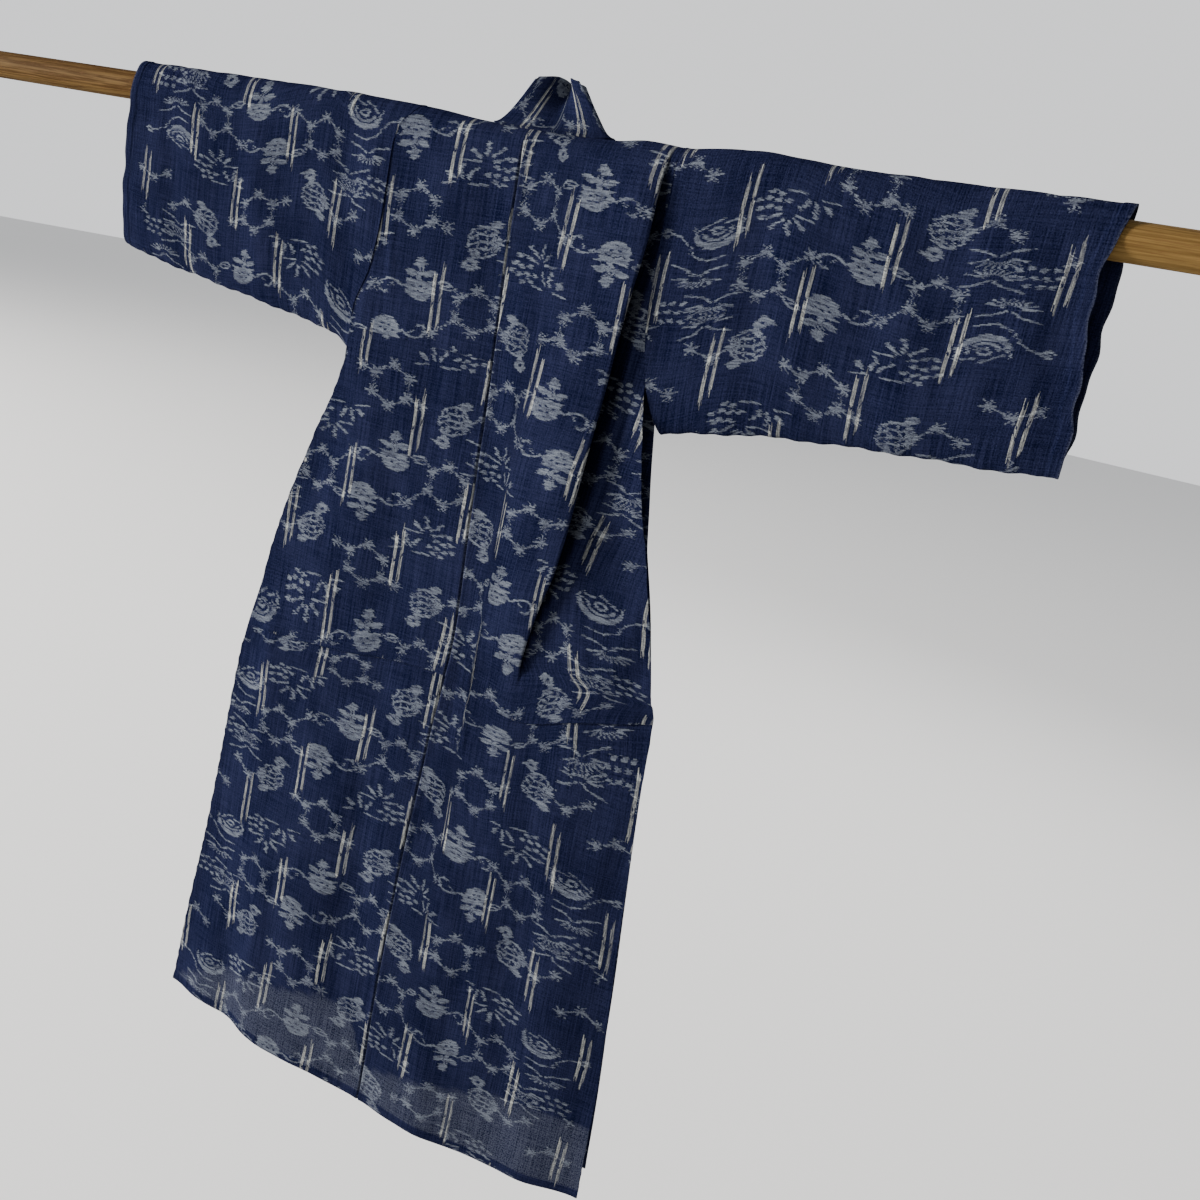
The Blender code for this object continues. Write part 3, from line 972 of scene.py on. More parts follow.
def turtle() -> list:
    """Return a netted shell with a ringed head at one corner."""
    return [
        disc(0, 0, 18, 14.4, -16),
        disc(0, 0, 15.4, 11.8, -16, True),
        line(2.1, (-14, -1), (-5, -6.5), (5, -6), (13, -9)),
        line(2.2, (-15, 5), (-5, -0.5), (5, -0.5), (15, -4.5)),
        line(2.1, (-13, 9.5), (-3, 5.5), (6, 5), (14, 1)),
        line(2, (-8, -8), (-5, 0), (-7, 9)),
        line(2, (1, -11), (4.5, -2), (2.5, 6), (4, 11)),
        line(2, (9, -10), (10.5, -3), (9.5, 5)),
        disc(-9.5, 21, 8.4, 6, -14),
        disc(-9.8, 20.6, 2.6, 1.7, 0, True),
        line(3.2, (-15, 24), (-20.5, 22)),
        line(6, (-7.5, 16), (-5, 11)),
        disc(10, -16, 8, 4.2, -14),
    ]


def half_flower() -> list:
    """Return half a chrysanthemum with scattered beads and a fallen sprig."""
    marks = [
        line(2.2, (-24, -0.8), (-5.5, -1.2)),
        line(3.4, (-15.5, -10.5), (-5, -5)),
        line(4.6, (-0.4, -17), (0.6, -8.5)),
        line(3, (6.5, -7), (17.5, -15)),
        line(2.3, (7.5, -2.4), (24, -7.2)),
        disc(-33.5, 13, 5, 3, 28),
        line(4.2, (-23, 4), (-21.5, 13.5)),
        line(3.4, (-15, 13.5), (-7, 5)),
        line(2, (-41, 22), (-28, 19)),
        line(2, (-13, 19), (9, 16.8)),
    ]
    spots = ((13.5, 1.4), (22.5, 2.6), (6, 8.6), (15, 8.2), (24.5, 9.4), (13, 13.6), (29, -6.5),
             (31, 0.6), (33.5, 7), (21.5, 15))
    return marks + [disc(u, v, 3.9, 2.3, -8) for u, v in spots]


def straw_hat() -> list:
    """Return a straw hat on its side, with its cord and tassel."""
    return [
        disc(0, 4, 23.5, 15.5, -6),
        disc(1, 8, 20.5, 14, -6, True),
        line(2.8, (-13.5, 5.5), (-9, -1), (-1, -4), (8, -3), (15, 1)),
        disc(0.5, 3.6, 7, 4.2, -6),
        disc(0.5, 3.6, 3.8, 1.7, -6, True),
        line(2, (-15, 11), (-5, 10)),
        line(2, (-2, 13), (7, 10)),
        line(2, (9, 8.5), (17, 4.5)),
        line(1.8, (-11, -18), (5, -20.5), (18, -16.5), (26, -7), (36, -1), (48, 0.5)),
        disc(51, 0.5, 5, 4.2),
        disc(51, 0.5, 2, 1.2, 0, True),
    ]


def pine_spray(flip: float) -> list:
    """Return a fan of pine needles over a swept bough.

    Args:
        flip: 1 where the needles point up, -1 where they point down.

    Returns:
        The marks.
    """
    marks = [line(2, (-26, 5 * flip), (-13, 3.4 * flip), (-3, -1 * flip)),
             line(2, (1, -0.5 * flip), (9, 4 * flip), (25, 7.5 * flip))]
    needles = ((6, 9, 22), (22, 8, 20), (40, 8, 18), (60, 7, 15), (82, 7, 14), (104, 7, 14), (125, 8, 17),
               (144, 8, 20), (162, 9, 23))
    flat = 0.62
    for angle, near, far in needles:
        turned = math.radians(angle)
        ends = [(reach * math.cos(turned), -flip * (2 + reach * math.sin(turned) * flat))
                for reach in (near, far)]
        marks.append(line(2, *ends))
    return marks


def beads() -> list:
    """Return a loose cluster of beads."""
    spots = ((-16, -3), (-7, -6), (3, -5), (13, -6), (-12, 3), (-2, 2), (8, 2), (18, 0), (-6, 9), (5, 9),
             (14, 8))
    return [disc(u, v, 3.7, 2.3, -10) for u, v in spots]


@dataclass
class WeaversChart:
    """The repeat of the woven figures, marked cell by cell for each weft row.

    The repeat turns half round on itself about the middle of the loom width, so that
    only the half with U above 0 is charted.
    """

    repeat: float = 178.0
    rows: int = 180
    columns: int = 192
    rows_per_ramp: int = 30
    digits: int = 16
    worn_edge: float = 0.35
    marks: list = field(default_factory=list)

    def __post_init__(self) -> None:
        """Set the figures out over the repeat."""
        self.marks += placed(purse(), 16, -25)
        self.marks += chain((38, -77), (20.5, -80.5))
        self.marks += hexagon(0, -89, 20.5, 20, 9.5)
        self.marks += hexagon(80, -11, 19.5, 19, 9)
        self.marks += chain((37, 16), (60.5, -2))
        self.marks += placed(turtle(), 77, -71.5)
        self.marks += placed(half_flower(), 65, 42)
        self.marks += placed(straw_hat(), 130, 23.5)
        self.marks += chain((189, 73), (167, 81), (146, 72.5))
        self.marks += chain((133, -70), (111, -82.5), (92, -72))
        self.marks += placed(pine_spray(1), 143, -8)
        self.marks += placed(pine_spray(1), 122, -32)
        self.marks += placed(beads(), 156, -40)
        self.marks += placed(pine_spray(-1), 122, -54)
        self.marks += [line(1.9, (172, -50), (185, -55)), line(1.9, (176, -62), (181, -50))]

    def covered(self, mark: Stroke, u: Array, v: Array) -> Array:
        """Return where a mark covers the cells.

        Args:
            mark: the mark.
            u: the cells' places across.
            v: their places down.

        Returns:
            True where it covers.
        """
        if len(mark.points) == 1:
            tilt = math.radians(mark.tilt)
            du, dv = u - mark.points[0][0], v - mark.points[0][1]
            along = du * math.cos(tilt) + dv * math.sin(tilt)
            aside = dv * math.cos(tilt) - du * math.sin(tilt)
            thinner = 0.0 if mark.bare else self.worn_edge
            return (along / (mark.width - thinner)) ** 2 + (aside / (mark.height - thinner)) ** 2 < 1.0
        found = np.zeros(u.shape, bool)
        for (u0, v0), (u1, v1) in zip(mark.points, mark.points[1:]):
            run_u, run_v = u1 - u0, v1 - v0
            share = np.clip(((u - u0) * run_u + (v - v0) * run_v) / (run_u ** 2 + run_v ** 2), 0.0, 1.0)
            off = np.hypot(u - u0 - share * run_u, v - v0 - share * run_v)
            found |= off < mark.width / 2 - self.worn_edge / 2
        return found

    def cells(self) -> Array:
        """Draw the marks on the cells.

        Returns:
            One row of true and false for each weft row.
        """
        v, u = np.meshgrid((np.arange(self.rows) + 0.5) * self.repeat / self.rows,
                           np.arange(self.columns) + 0.5, indexing="ij")
        chart = np.zeros(u.shape, bool)
        for turn in (1, -1):
            for shift in (-self.repeat, 0.0, self.repeat):
                for mark in self.marks:
                    found = self.covered(mark, turn * u, turn * v + shift)
                    chart[found] = not mark.bare
        return chart


@dataclass(frozen=True)
class FiguredCloth:
    """Indigo plain weave with pale weft figures and bright pairs of warp bars."""

    dark: tuple = (0.0019, 0.0031, 0.0128, 1.0)
    light: tuple = (0.0158, 0.0184, 0.0472, 1.0)
    figure: tuple = (0.130, 0.146, 0.174, 1.0)
    bar: tuple = (0.520, 0.530, 0.475, 1.0)
    # The paler tone of rubbed cloth, also used as painted light where one layer hangs alone and light comes
    # through it.
    thin: tuple = (0.0540, 0.0600, 0.0830, 1.0)
    pick_group: float = 1.25
    end_group: float = 1.15
    thread: float = 0.56
    bar_spacing: float = 71.5
    bar_repeat: float = 132.0
    bar_half_length: float = 26.0
    bar_aside: float = 3.9
    bar_half_width: float = 1.75
    bar_stagger: float = 3.6
    bar_half_gap: float = 1.6
    roughness: float = 0.86

    def held_row(self, recipe: Recipe, chart: WeaversChart, cells: Array,
                 row: Wire) -> bpy.types.NodeSocket:
        """Return the cells of the present weft row as the binary digits of three numbers.

        Each ramp holds thirty weft rows, a stop for each, and is black beyond them, so
        that the ramps can be summed.

        Args:
            recipe: the material.
            chart: the weaver's chart.
            cells: the chart's cells, as many columns as three numbers hold.
            row: the number of the weft row.

        Returns:
            The socket of the three numbers.
        """
        black = (0.0, 0.0, 0.0, 1.0)
        stop_count = chart.rows_per_ramp + 2.0
        weights = 2.0 ** np.arange(chart.digits) / 2.0 ** chart.digits
        summed: Optional[bpy.types.NodeSocket] = None
        for first in range(0, chart.rows, chart.rows_per_ramp):
            stops = [(0.0, black)]
            for i in range(chart.rows_per_ramp):
                numbers = cells[first + i].reshape(3, -1) @ weights
                stops.append(((i + 1) / stop_count, (*numbers.tolist(), 1.0)))
            stops.append(((stop_count - 1) / stop_count, black))
            share = (row - float(first) + 1.5) / stop_count
            held = recipe.node("ShaderNodeValToRGB", {"stops": stops}, {"Fac": share}).outputs[0]
            if summed is None:
                summed = held
            else:
                added = recipe.node("ShaderNodeVectorMath", {"operation": "ADD"}, {0: summed, 1: held})
                summed = added.outputs[0]
        return summed

    def chart_bit(self, recipe: Recipe, chart: WeaversChart, u: Wire, v: Wire) -> Wire:
        """Return 1 where the chart leaves the weft undyed.

        Args:
            recipe: the material.
            chart: the weaver's chart.
            u: the place across in millimetres, from the middle of the loom width.
            v: the place down the cloth in millimetres.

        Returns:
            1 on a figure and 0 on the ground.
        """
        cells = chart.cells()
        turn = (u > 0.0) * 2.0 - 1.0
        row = (((v * turn) % chart.repeat) / (chart.repeat / chart.rows)).floor()
        column = abs(u)
        width = 3 * chart.digits
        digit = (column % chart.digits).floor()
        channel = ((column % width) / chart.digits).floor()
        digits = chart.digits
        scales = [(i / digits, (2.0 ** (digits - i),) * 3 + (1.0,)) for i in range(digits)]
        scale = recipe.node("ShaderNodeValToRGB", {"stops": scales}, {"Fac": (digit + 0.5) / chart.digits})
        channels = [(0.0, (1.0, 0.0, 0.0, 1.0)), (0.333, (0.0, 1.0, 0.0, 1.0)),
                    (0.667, (0.0, 0.0, 1.0, 1.0))]
        pick = recipe.node("ShaderNodeValToRGB", {"stops": channels}, {"Fac": (channel + 0.5) / 3.0})
        total: Optional[Wire] = None
        for group in range(chart.columns // width):
            held = self.held_row(recipe, chart, cells[:, group * width:(group + 1) * width], row)
            chosen = recipe.node("ShaderNodeVectorMath", {"operation": "DOT_PRODUCT"},
                                 {0: held, 1: pick.outputs[0]})
            here = (column / width).floor().math("COMPARE", float(group), 0.1)
            part = Wire(recipe, chosen.outputs["Value"]) * here
            total = part if total is None else total + part
        number = total * Wire(recipe, scale.outputs[0])
        return (number.floor() % 2.0) > 0.5

    def bars(self, recipe: Recipe, u: Wire, v: Wire) -> Wire:
        """Return how bright the bars of the warp are, 0 beside them.

        Args:
            recipe: the material.
            u: the place across in millimetres.
            v: the place down in millimetres.

        Returns:
            The brightness, thread by thread.
        """
        end = (u / self.end_group).floor()
        frayed = v + recipe.chance(end, 3.7) * 10.0 + recipe.chance((u / self.thread).floor(), 4.9) * 4.0
        frayed = frayed + (recipe.noise(u / 6.0, v / 60.0, 1.0, 5.0) - 0.5) * 5.0
        bent = u + (recipe.noise(v / 55.0, u / 160.0, 1.0, 2.0) - 0.5) * 6.0
        slot = (bent / self.bar_spacing).floor()
        aside = (bent % self.bar_spacing) - self.bar_spacing / 2
        strip = abs(abs(aside) - self.bar_aside) < self.bar_half_width
        stagger = ((aside > 0.0) * 2.0 - 1.0) * self.bar_stagger
        place = (frayed + stagger + slot * (self.bar_repeat / 2)) % self.bar_repeat
        off = abs(place - self.bar_repeat / 2)
        long = off < self.bar_half_length
        gap = off > self.bar_half_gap
        broken = recipe.noise(u / 0.8, v / 7.0, 1.0, 31.0).spread(0.30, 0.62, 0.40, 1.0)
        pale = recipe.noise(u / 31.0, v / 43.0, 1.0, 37.0).spread(0.34, 0.62, 0.70, 1.0)
        return strip * long * gap * broken * pale * (0.30 + 0.70 * recipe.chance(end, 6.1))

    def make(self, name: str, chart: WeaversChart) -> bpy.types.Material:
        """Make the cloth's material.

        Args:
            name: the material's name.
            chart: the weaver's chart.

        Returns:
            The material.
        """
        recipe = Recipe(name)
        cut = recipe.node("ShaderNodeAttribute", {"attribute_name": "cut"}, {})
        u, v, light = recipe.split(cut.outputs["Vector"])
        u, v = u * 1000.0, v * 1000.0
        single = light.most(0.0)
        shade = (light * -1.0).most(0.0)
        pick = (v / self.pick_group).floor()
        fine_pick = (v / self.thread).floor()
        slip = (recipe.chance(pick) - 0.5) * 4.4 + (recipe.chance(fine_pick, 9.0) - 0.5) * 2.6
        slip = slip + (recipe.noise(u / 7.0, v / 1.3, 1.0, 1.0) - 0.5) * 3.4
        sway = (recipe.noise(u / 30.0, v / 9.0, 1.0, 8.0) - 0.5) * 1.6
        figure = self.chart_bit(recipe, chart, u + slip, v + sway)
        bar = self.bars(recipe, u, v)
        warp_streak = recipe.noise(u / 1.5, v / 60.0, 3.0, 11.0)
        weft_streak = recipe.noise(u / 42.0, v / 1.3, 2.0, 13.0)
        grit = recipe.noise(u / 1.4, v / 1.4, 2.0, 19.0)
        cloud = recipe.noise(u / 55.0, v / 80.0, 3.0, 17.0)
        warp_share = warp_streak.spread(0.30, 0.72)
        weft_share = weft_streak.spread(0.30, 0.70)
        grit_share = grit.spread(0.30, 0.70)
        cloud_share = cloud.spread(0.3, 0.7)
        ground_share = warp_share * 0.46 + weft_share * 0.30 + grit_share * 0.46 + cloud_share * 0.24 - 0.28
        ground = recipe.mix(ground_share, self.dark, self.light)
        # Painted light: where one layer hangs alone the ground is painted paler, as if lit through from
        # behind; the same channel also pales rubbed seams and cuff edges, which is real wear.
        paling = single * (0.70 * grit_share + 0.30 * warp_share + 0.28 * weft_share - 0.26)
        ground = recipe.mix(paling, ground, self.thin)
        row_share = recipe.noise(u / 15.0, pick * 7.3, 1.0, 23.0).spread(0.28, 0.72)
        faded = 0.80 + 0.20 * cloud.spread(0.35, 0.65)
        figure_tone = figure * (0.13 + 0.55 * row_share + 0.32 * grit_share) * faded
        coloured = recipe.mix(figure_tone, ground, self.figure)
        bar_tone = bar * (0.52 + 0.48 * grit_share) * (0.60 + 0.40 * figure)
        coloured = recipe.mix(bar_tone, coloured, self.bar)
        ends = (u * (2.0 * math.pi / self.thread)).sine()
        picks = (v * (2.0 * math.pi / self.thread)).sine()
        weave = ends * picks
        # Weave texture, times painted shade deep in the loose fold.
        depth = (weave * 0.12 + 0.93) * (1.0 - 0.72 * shade)
        coloured = recipe.mix(1.0, coloured, depth.socket, "MULTIPLY")
        recipe.feed(recipe.shader.inputs["Base Color"], coloured)
        recipe.shader.inputs["Roughness"].default_value = self.roughness
        recipe.shader.inputs["Specular IOR Level"].default_value = 0.0
        height = weave * 0.00005 + warp_streak * 0.00030 + weft_streak * 0.00020 + grit * 0.00025
        recipe.relief(height + recipe.noise(u / 7.0, v / 11.0, 2.0, 21.0) * 0.0007, 0.9)
        return recipe.material


@dataclass(frozen=True)
class PoleWood:
    """Light brown wood with fine grain along the pole and a satin finish."""

    pale: tuple = (0.150, 0.092, 0.030, 1.0)
    brown: tuple = (0.040, 0.019, 0.004, 1.0)
    pore: tuple = (0.09, 0.04, 0.016, 1.0)
    roughness: float = 0.72

    def make(self, name: str) -> bpy.types.Material:
        """Make the wood's material.

        Args:
            name: the material's name.

        Returns:
            The material.
        """
        recipe = Recipe(name)
        place = recipe.node("ShaderNodeTexCoord", {}, {})
        x, y, z = (part * 1000.0 for part in recipe.split(place.outputs["Object"]))
        wander = (recipe.noise(x / 120.0, y / 14.0, 1.0, 4.0) - 0.5) * 6.0
        grain = recipe.noise(x / 70.0, (y + wander) / 1.6, 4.0, z / 1.6)
        pores = recipe.noise(x / 9.0, y / 0.45, 2.0, z / 0.45).spread(0.56, 0.70)
        broad = recipe.noise(x / 240.0, z / 20.0, 2.0, 9.0).spread(0.3, 0.7)
        # Towards the pole's left end the wood is painted darker: painted shade.
        share = grain.spread(0.34, 0.68) * 0.6 + broad * 0.3 + x.spread(-520.0, 420.0, 0.40, -0.15)
        colour = recipe.mix(pores * 0.5, recipe.mix(share, self.pale, self.brown), self.pore)
        recipe.feed(recipe.shader.inputs["Base Color"], colour)
        recipe.shader.inputs["Specular IOR Level"].default_value = 0.02
        recipe.feed(recipe.shader.inputs["Roughness"], grain * 0.18 + (self.roughness - 0.08))
        recipe.relief(grain * 0.0002 - pores * 0.0001, 0.6)
        return recipe.material


def sew(node: str, middle: Array, thick: Array, cut: Array, material: bpy.types.Material,
        ring: bool = False) -> bpy.types.Object:
    """Make a piece of cloth, dress it, let it ride with the pole and stand for its solid.

    Args:
        node: its solid, whose slot has the same name.
        middle: the grid of points.
        thick: the thickness at each point.
        cut: the place of each point on the flat cloth, with its light or shade.
        material: its finish.
        ring: whether the grid's columns close into a ring.

    Returns:
        The piece.
    """
    piece = shell(node + "_cloth", middle, thick, cut, ring)
    piece.data.materials.append(material)
    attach(piece, "root")
    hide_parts(node)
    log.info("%s: %d points", node, middle.size // 3)
    return piece


@dataclass
class BodyHalf:
    """One length of cloth from the back hem over the pole to the front hem."""

    half: Half
    drape: Drape
    middle_of_loom: float
    turned_over: bool
    chart_start: float
    tuck_taken: float
    step_height: float = -0.185
    step_taken: float = 0.0
    pleat_line: float = 0.0455
    pleat_top: float = -0.400
    pleat_foot: float = -0.560
    widening: float = 0.075
    rise_from: float = -0.270
    side_rise: float = 0.013
    side_taken: float = 0.012
    rubbed: float = 0.9
    rubbed_width: float = 0.0016
    row_step: float = 0.0062
    tuck_step: float = 0.0020
    tuck_near: float = 0.012
    edge_step: float = 0.0003
    held_side: float = 0.014
    ledge_reach: float = 0.020
    columns: int = 58
    flap_columns: int = 34
    arc_steps: int = 7
    depth_steps: int = 5
    under_columns: int = 26
    thick: float = 0.0008
    hem_extra: float = 0.0007
    hem_turned_up: float = 0.009
    front_fold_share: float = 0.40
    shortest_step: float = 0.0004

    def __post_init__(self) -> None:
        """Make the curves of the loose fold and of the loom width."""
        self.pleat = {name: Curve(PLEATS, "height", name) for name in Pleat._fields[1:]}
        self.loom_middle = Curve(LOOM_MIDDLE, "height", "place")
        self.pleat_hidden = Curve(PLEAT_HIDDEN, "height", "place")
        self.single = Curve(SINGLE_LAYER, "place", "height")

    def rows(self) -> list:
        """Set out the rows from the back hem over the crown to the front hem.

        Returns:
            The rows' stations.
        """
        drape = self.drape
        bottom = -drape.hem_length
        heights = [bottom + rise for rise in (0.0, 0.0015, 0.004, 0.0075, 0.009, 0.0105)]
        height = bottom + 0.014
        while height < -0.006:
            from_tuck = abs(height - drape.tuck_height)
            if from_tuck >= 0.0014:
                heights.append(height)
            height += self.tuck_step if from_tuck < self.tuck_near else self.row_step
        for line in (drape.tuck_height, self.step_height):
            heights += [line - self.edge_step, line + self.edge_step]
        heights.sort()
        crown = (0, 8, 16, 24, 32, 40, 48, 54, 58, 62, 65, 68, 73, 78, 84, 90, 97, 104, 112, 120, 130, 140,
                 150, 160, 170, 180)
        return ([drape.hanging_station(Face.BACK, height) for height in heights]
                + [drape.crown_station(float(angle)) for angle in crown]
                + [drape.hanging_station(Face.FRONT, height) for height in reversed(heights)])

    @staticmethod
    def spaced(columns: int, width: float) -> Array:
        """Return shares across a row, closer together beside the seam.

        Args:
            columns: the number of points.
            width: the row's width.

        Returns:
            The shares, from 0 to 1.
        """
        close = np.array([0.0, 0.0006, 0.0013, 0.0021, 0.0031, 0.0045]) / width
        return np.concatenate((close, np.linspace(close[-1], 1.0, columns)[1:]))

    def fold_steps(self, depth: float, turn: float, radius: float) -> list:
        """Walk through the loose fold, from its flap to the under layer.

        Args:
            depth: how far the cloth is tucked in.
            turn: how far it turns back, in degrees.
            radius: the radius of its two bends.

        Returns:
            The steps, each across and up.
        """
        arc_turn = math.radians(turn) / self.arc_steps
        arc_step = radius * arc_turn + self.shortest_step * (1.0 - turn / 180.0) * 3 / self.arc_steps
        first = [(arc_step, (i + 0.5) * arc_turn) for i in range(self.arc_steps)]
        inside = max(depth, self.shortest_step) / self.depth_steps
        middle = [(inside, math.radians(turn))] * self.depth_steps
        return [(length * math.cos(heading), -length * math.sin(heading))
                for length, heading in first + middle + first[::-1]]

    def folded_places(self, station: Station, start: float, end: float) -> tuple:
        """Return places across, lifts and depth in shade of a row with the loose fold.

        Args:
            station: the row.
            start: its inner edge.
            end: its outer edge.

        Returns:
            The places, the lifts and the shade, 1 deep in the fold.
        """
        height = PLEATS[0].height if station.angle > 90 else station.height
        edge, depth, turn, radius, reach = (float(self.pleat[name](height)) for name in self.pleat)
        steps = np.array(self.fold_steps(depth, turn, radius))
        flap_end = edge - radius
        if station.face is Face.FRONT:
            flap_end = start + self.front_fold_share * (end - start)
        lift = -steps[:, 1].sum()
        share = self.spaced(self.flap_columns, abs(flap_end - start))
        places = start + (flap_end - start) * share
        lifts = lift * ease(share)
        places = np.concatenate((places, places[-1] + np.cumsum(steps[:, 0])))
        lifts = np.concatenate((lifts, lifts[-1] + np.cumsum(steps[:, 1])))
        under = np.linspace(0.0, 1.0, self.under_columns + 1)[1:]
        places = np.concatenate((places, places[-1] + (end - places[-1]) * under))
        lifts = np.concatenate((lifts, np.zeros(self.under_columns)))
        fade = max(reach * 0.55, self.shortest_step)
        shade = ease((edge + reach - places) / fade) * float(ease(turn / 90.0))
        shade[:self.flap_columns + self.arc_steps + 5] = 0.0
        return places, lifts, shade

    def grid(self) -> tuple:
        """Work out the half, row by row.

        Returns:
            The points, the thicknesses, and the places on the flat cloth with their light or shade.
        """
        drape, half = self.drape, self.half
        points, cuts, thick = [], [], []
        for station in self.rows():
            start = drape.inner_edge(half, station)
            end = float(drape.side[half](station.height))
            if half is Half.RIGHT:
                places, lifts, shade = self.folded_places(station, start, end)
            else:
                places = start + (end - start) * self.spaced(self.columns, abs(end - start))
                lifts = shade = np.zeros(len(places))
            plain = drape.put(half, station, places, lifts)
            row = drape.put(half, station, places, lifts + self.roughness(station, places, plain[:, 2]))
            extra = np.zeros(len(places))
            walked = np.linalg.norm(np.diff(plain, axis=0), axis=1)
            extra[1:] = np.cumsum(walked - half.value * np.diff(places))
            from_hem = station.height + drape.hem_length
            above_hem = float(ease((from_hem - self.hem_turned_up) / 0.001))
            single = self.thinness(station, places - start, row) * above_hem
            if station.face is Face.FRONT:
                shade = np.zeros(len(places))
            turned_up = self.hem_extra * float(ease(1.0 - (from_hem - self.hem_turned_up) / 0.0015))
            if station.face is Face.CROWN:
                turned_up = 0.0
            points.append(row)
            u = self.loom_place(station, places, extra)
            cuts.append(np.stack((u, self.loom_length(station, places), single - shade), -1))
            thick.append(np.full(len(places), self.thick + turned_up))
        return np.array(points), np.array(thick), np.array(cuts)

    def roughness(self, station: Station, places: Array, heights: Array) -> Array:
        """Return how far creases, puckers and waviness lift a row, calmer on the crown and at the side.

        Args:
            station: the row.
            places: places across the garment.
            heights: the points' heights.

        Returns:
            The lifts.
        """
        rough = ripple(places, heights * (1 if station.face is Face.BACK else -1))
        if station.face is Face.BACK:
            rough = rough + creases_at(BACK_CREASES, places, heights)
            rough = rough + self.seam_lift(station, places)
        calm = ease(1.0 - station.height / -0.02) if station.face is not Face.CROWN else 1.0
        from_side = np.abs(float(self.drape.side[self.half](station.height)) - places)
        under_arm = float(ease((station.height + 0.19) / 0.02))
        held = 1.0 - 0.9 * ease(1.0 - from_side / self.held_side) * under_arm
        return rough * (1.0 - 0.75 * calm) * held

    def thinness(self, station: Station, from_seam: Array, row: Array) -> Array:
        """Return where the back is one layer that light comes through, or is rubbed pale at its seam.

        Args:
            station: the row.
            from_seam: how far each point is from the centre-back seam.
            row: the row's points.

        Returns:
            From 0 for whole cloth to 1.
        """
        if station.face is not Face.BACK:
            return np.zeros(len(row))
        rubbed = self.rubbed * (0.5 + 0.5 * math.sin(station.height * 410.0 + self.half.value))
        # Painted light: below the front hems the back is one layer and is painted lighter, as if light came
        # through it.
        thin = ease((self.single(row[:, 0]) - row[:, 2]) / 0.004)
        return np.maximum(thin, rubbed * np.exp(-(np.abs(from_seam) / self.rubbed_width) ** 2))

    def loom_length(self, station: Station, places: Array) -> Array:
        """Return where each point lies along the loom length, past what the tucks hide.

        Args:
            station: the row.
            places: places across the garment.

        Returns:
            The distances down the chart.
        """
        length = np.full(len(places), station.run + self.chart_start)
        on_back = station.face is Face.BACK
        if on_back and self.half is Half.RIGHT:
            below = float(ease((self.rise_from - station.height) / 0.08))
            length = length + self.side_rise * below * ease((places - 0.075) / 0.07)
        if on_back and station.height < self.step_height:
            length = length + self.step_taken
        if station.height < self.drape.tuck_height:
            length = length + (self.tuck_taken if on_back else -self.tuck_taken)
        return length

    def loom_place(self, station: Station, places: Array, extra: Array) -> Array:
        """Return where each point lies across the loom width.

        Args:
            station: the row.
            places: places across the garment.
            extra: how much longer the cloth is than its reach, from the seam to each point.

        Returns:
            The distances from the middle of the loom width.
        """
        turn = -1.0 if self.turned_over else 1.0
        if self.half is Half.LEFT:
            return turn * (places - self.middle_of_loom + self.half.value * extra)
        height = station.height if station.face is Face.BACK else LOOM_MIDDLE[0].height
        middle = float(self.loom_middle(height))
        beyond = places - middle
        wide = self.widening * float(ease((self.pleat_foot - height) / 0.1))
        beyond = beyond * np.where(beyond > 0, 1.0 + wide, 1.0) + extra
        below = float(ease((self.rise_from - height) / 0.08))
        beyond = beyond + self.side_taken * below * ease((places - 0.09) / 0.05)
        sharp = self.pleat_foot < height < self.pleat_top
        soft = 0.0008 if sharp else 0.009
        left_of_pleat = 1.0 - ease((places - self.pleat_line + soft) / (2 * soft))
        return turn * beyond + float(self.pleat_hidden(height)) * left_of_pleat

    def seam_lift(self, station: Station, places: Array) -> Array:
        """Return how the cloth puckers beside its seams and at the waist tuck.

        Args:
            station: the row, on the back.
            places: places across the garment.

        Returns:
            The lifts.
        """
        drape = self.drape
        from_seam = np.abs(places - drape.back_seam(station.height))
        from_side = np.abs(drape.side[self.half](station.height) - places)
        pucker = 0.35 + 0.65 * np.sin(station.height * 330.0 + 2.0 * np.sin(station.height * 47.0))
        centre = 0.0007 * np.exp(-(from_seam / 0.005) ** 2) - 0.0018 * np.exp(-(from_seam / 0.0011) ** 2)
        side = 0.0010 * pucker * np.exp(-from_side / 0.010)
        below = drape.tuck_height - station.height
        if below < 0:
            ledge = 0.0013 * math.exp(below / self.ledge_reach)
        else:
            ledge = -0.0002 * math.exp(-below / 0.01)
        return centre + side + ledge * ease(from_side / 0.02)

    def build(self, material: bpy.types.Material) -> bpy.types.Object:
        """Build the half, dress it and declare its flat cut.

        Args:
            material: the cloth's finish.

        Returns:
            The piece.
        """
        middle, thick, cut = self.grid()
        piece = sew(f"body_{self.half.key}", middle, thick, cut, material)
        return piece


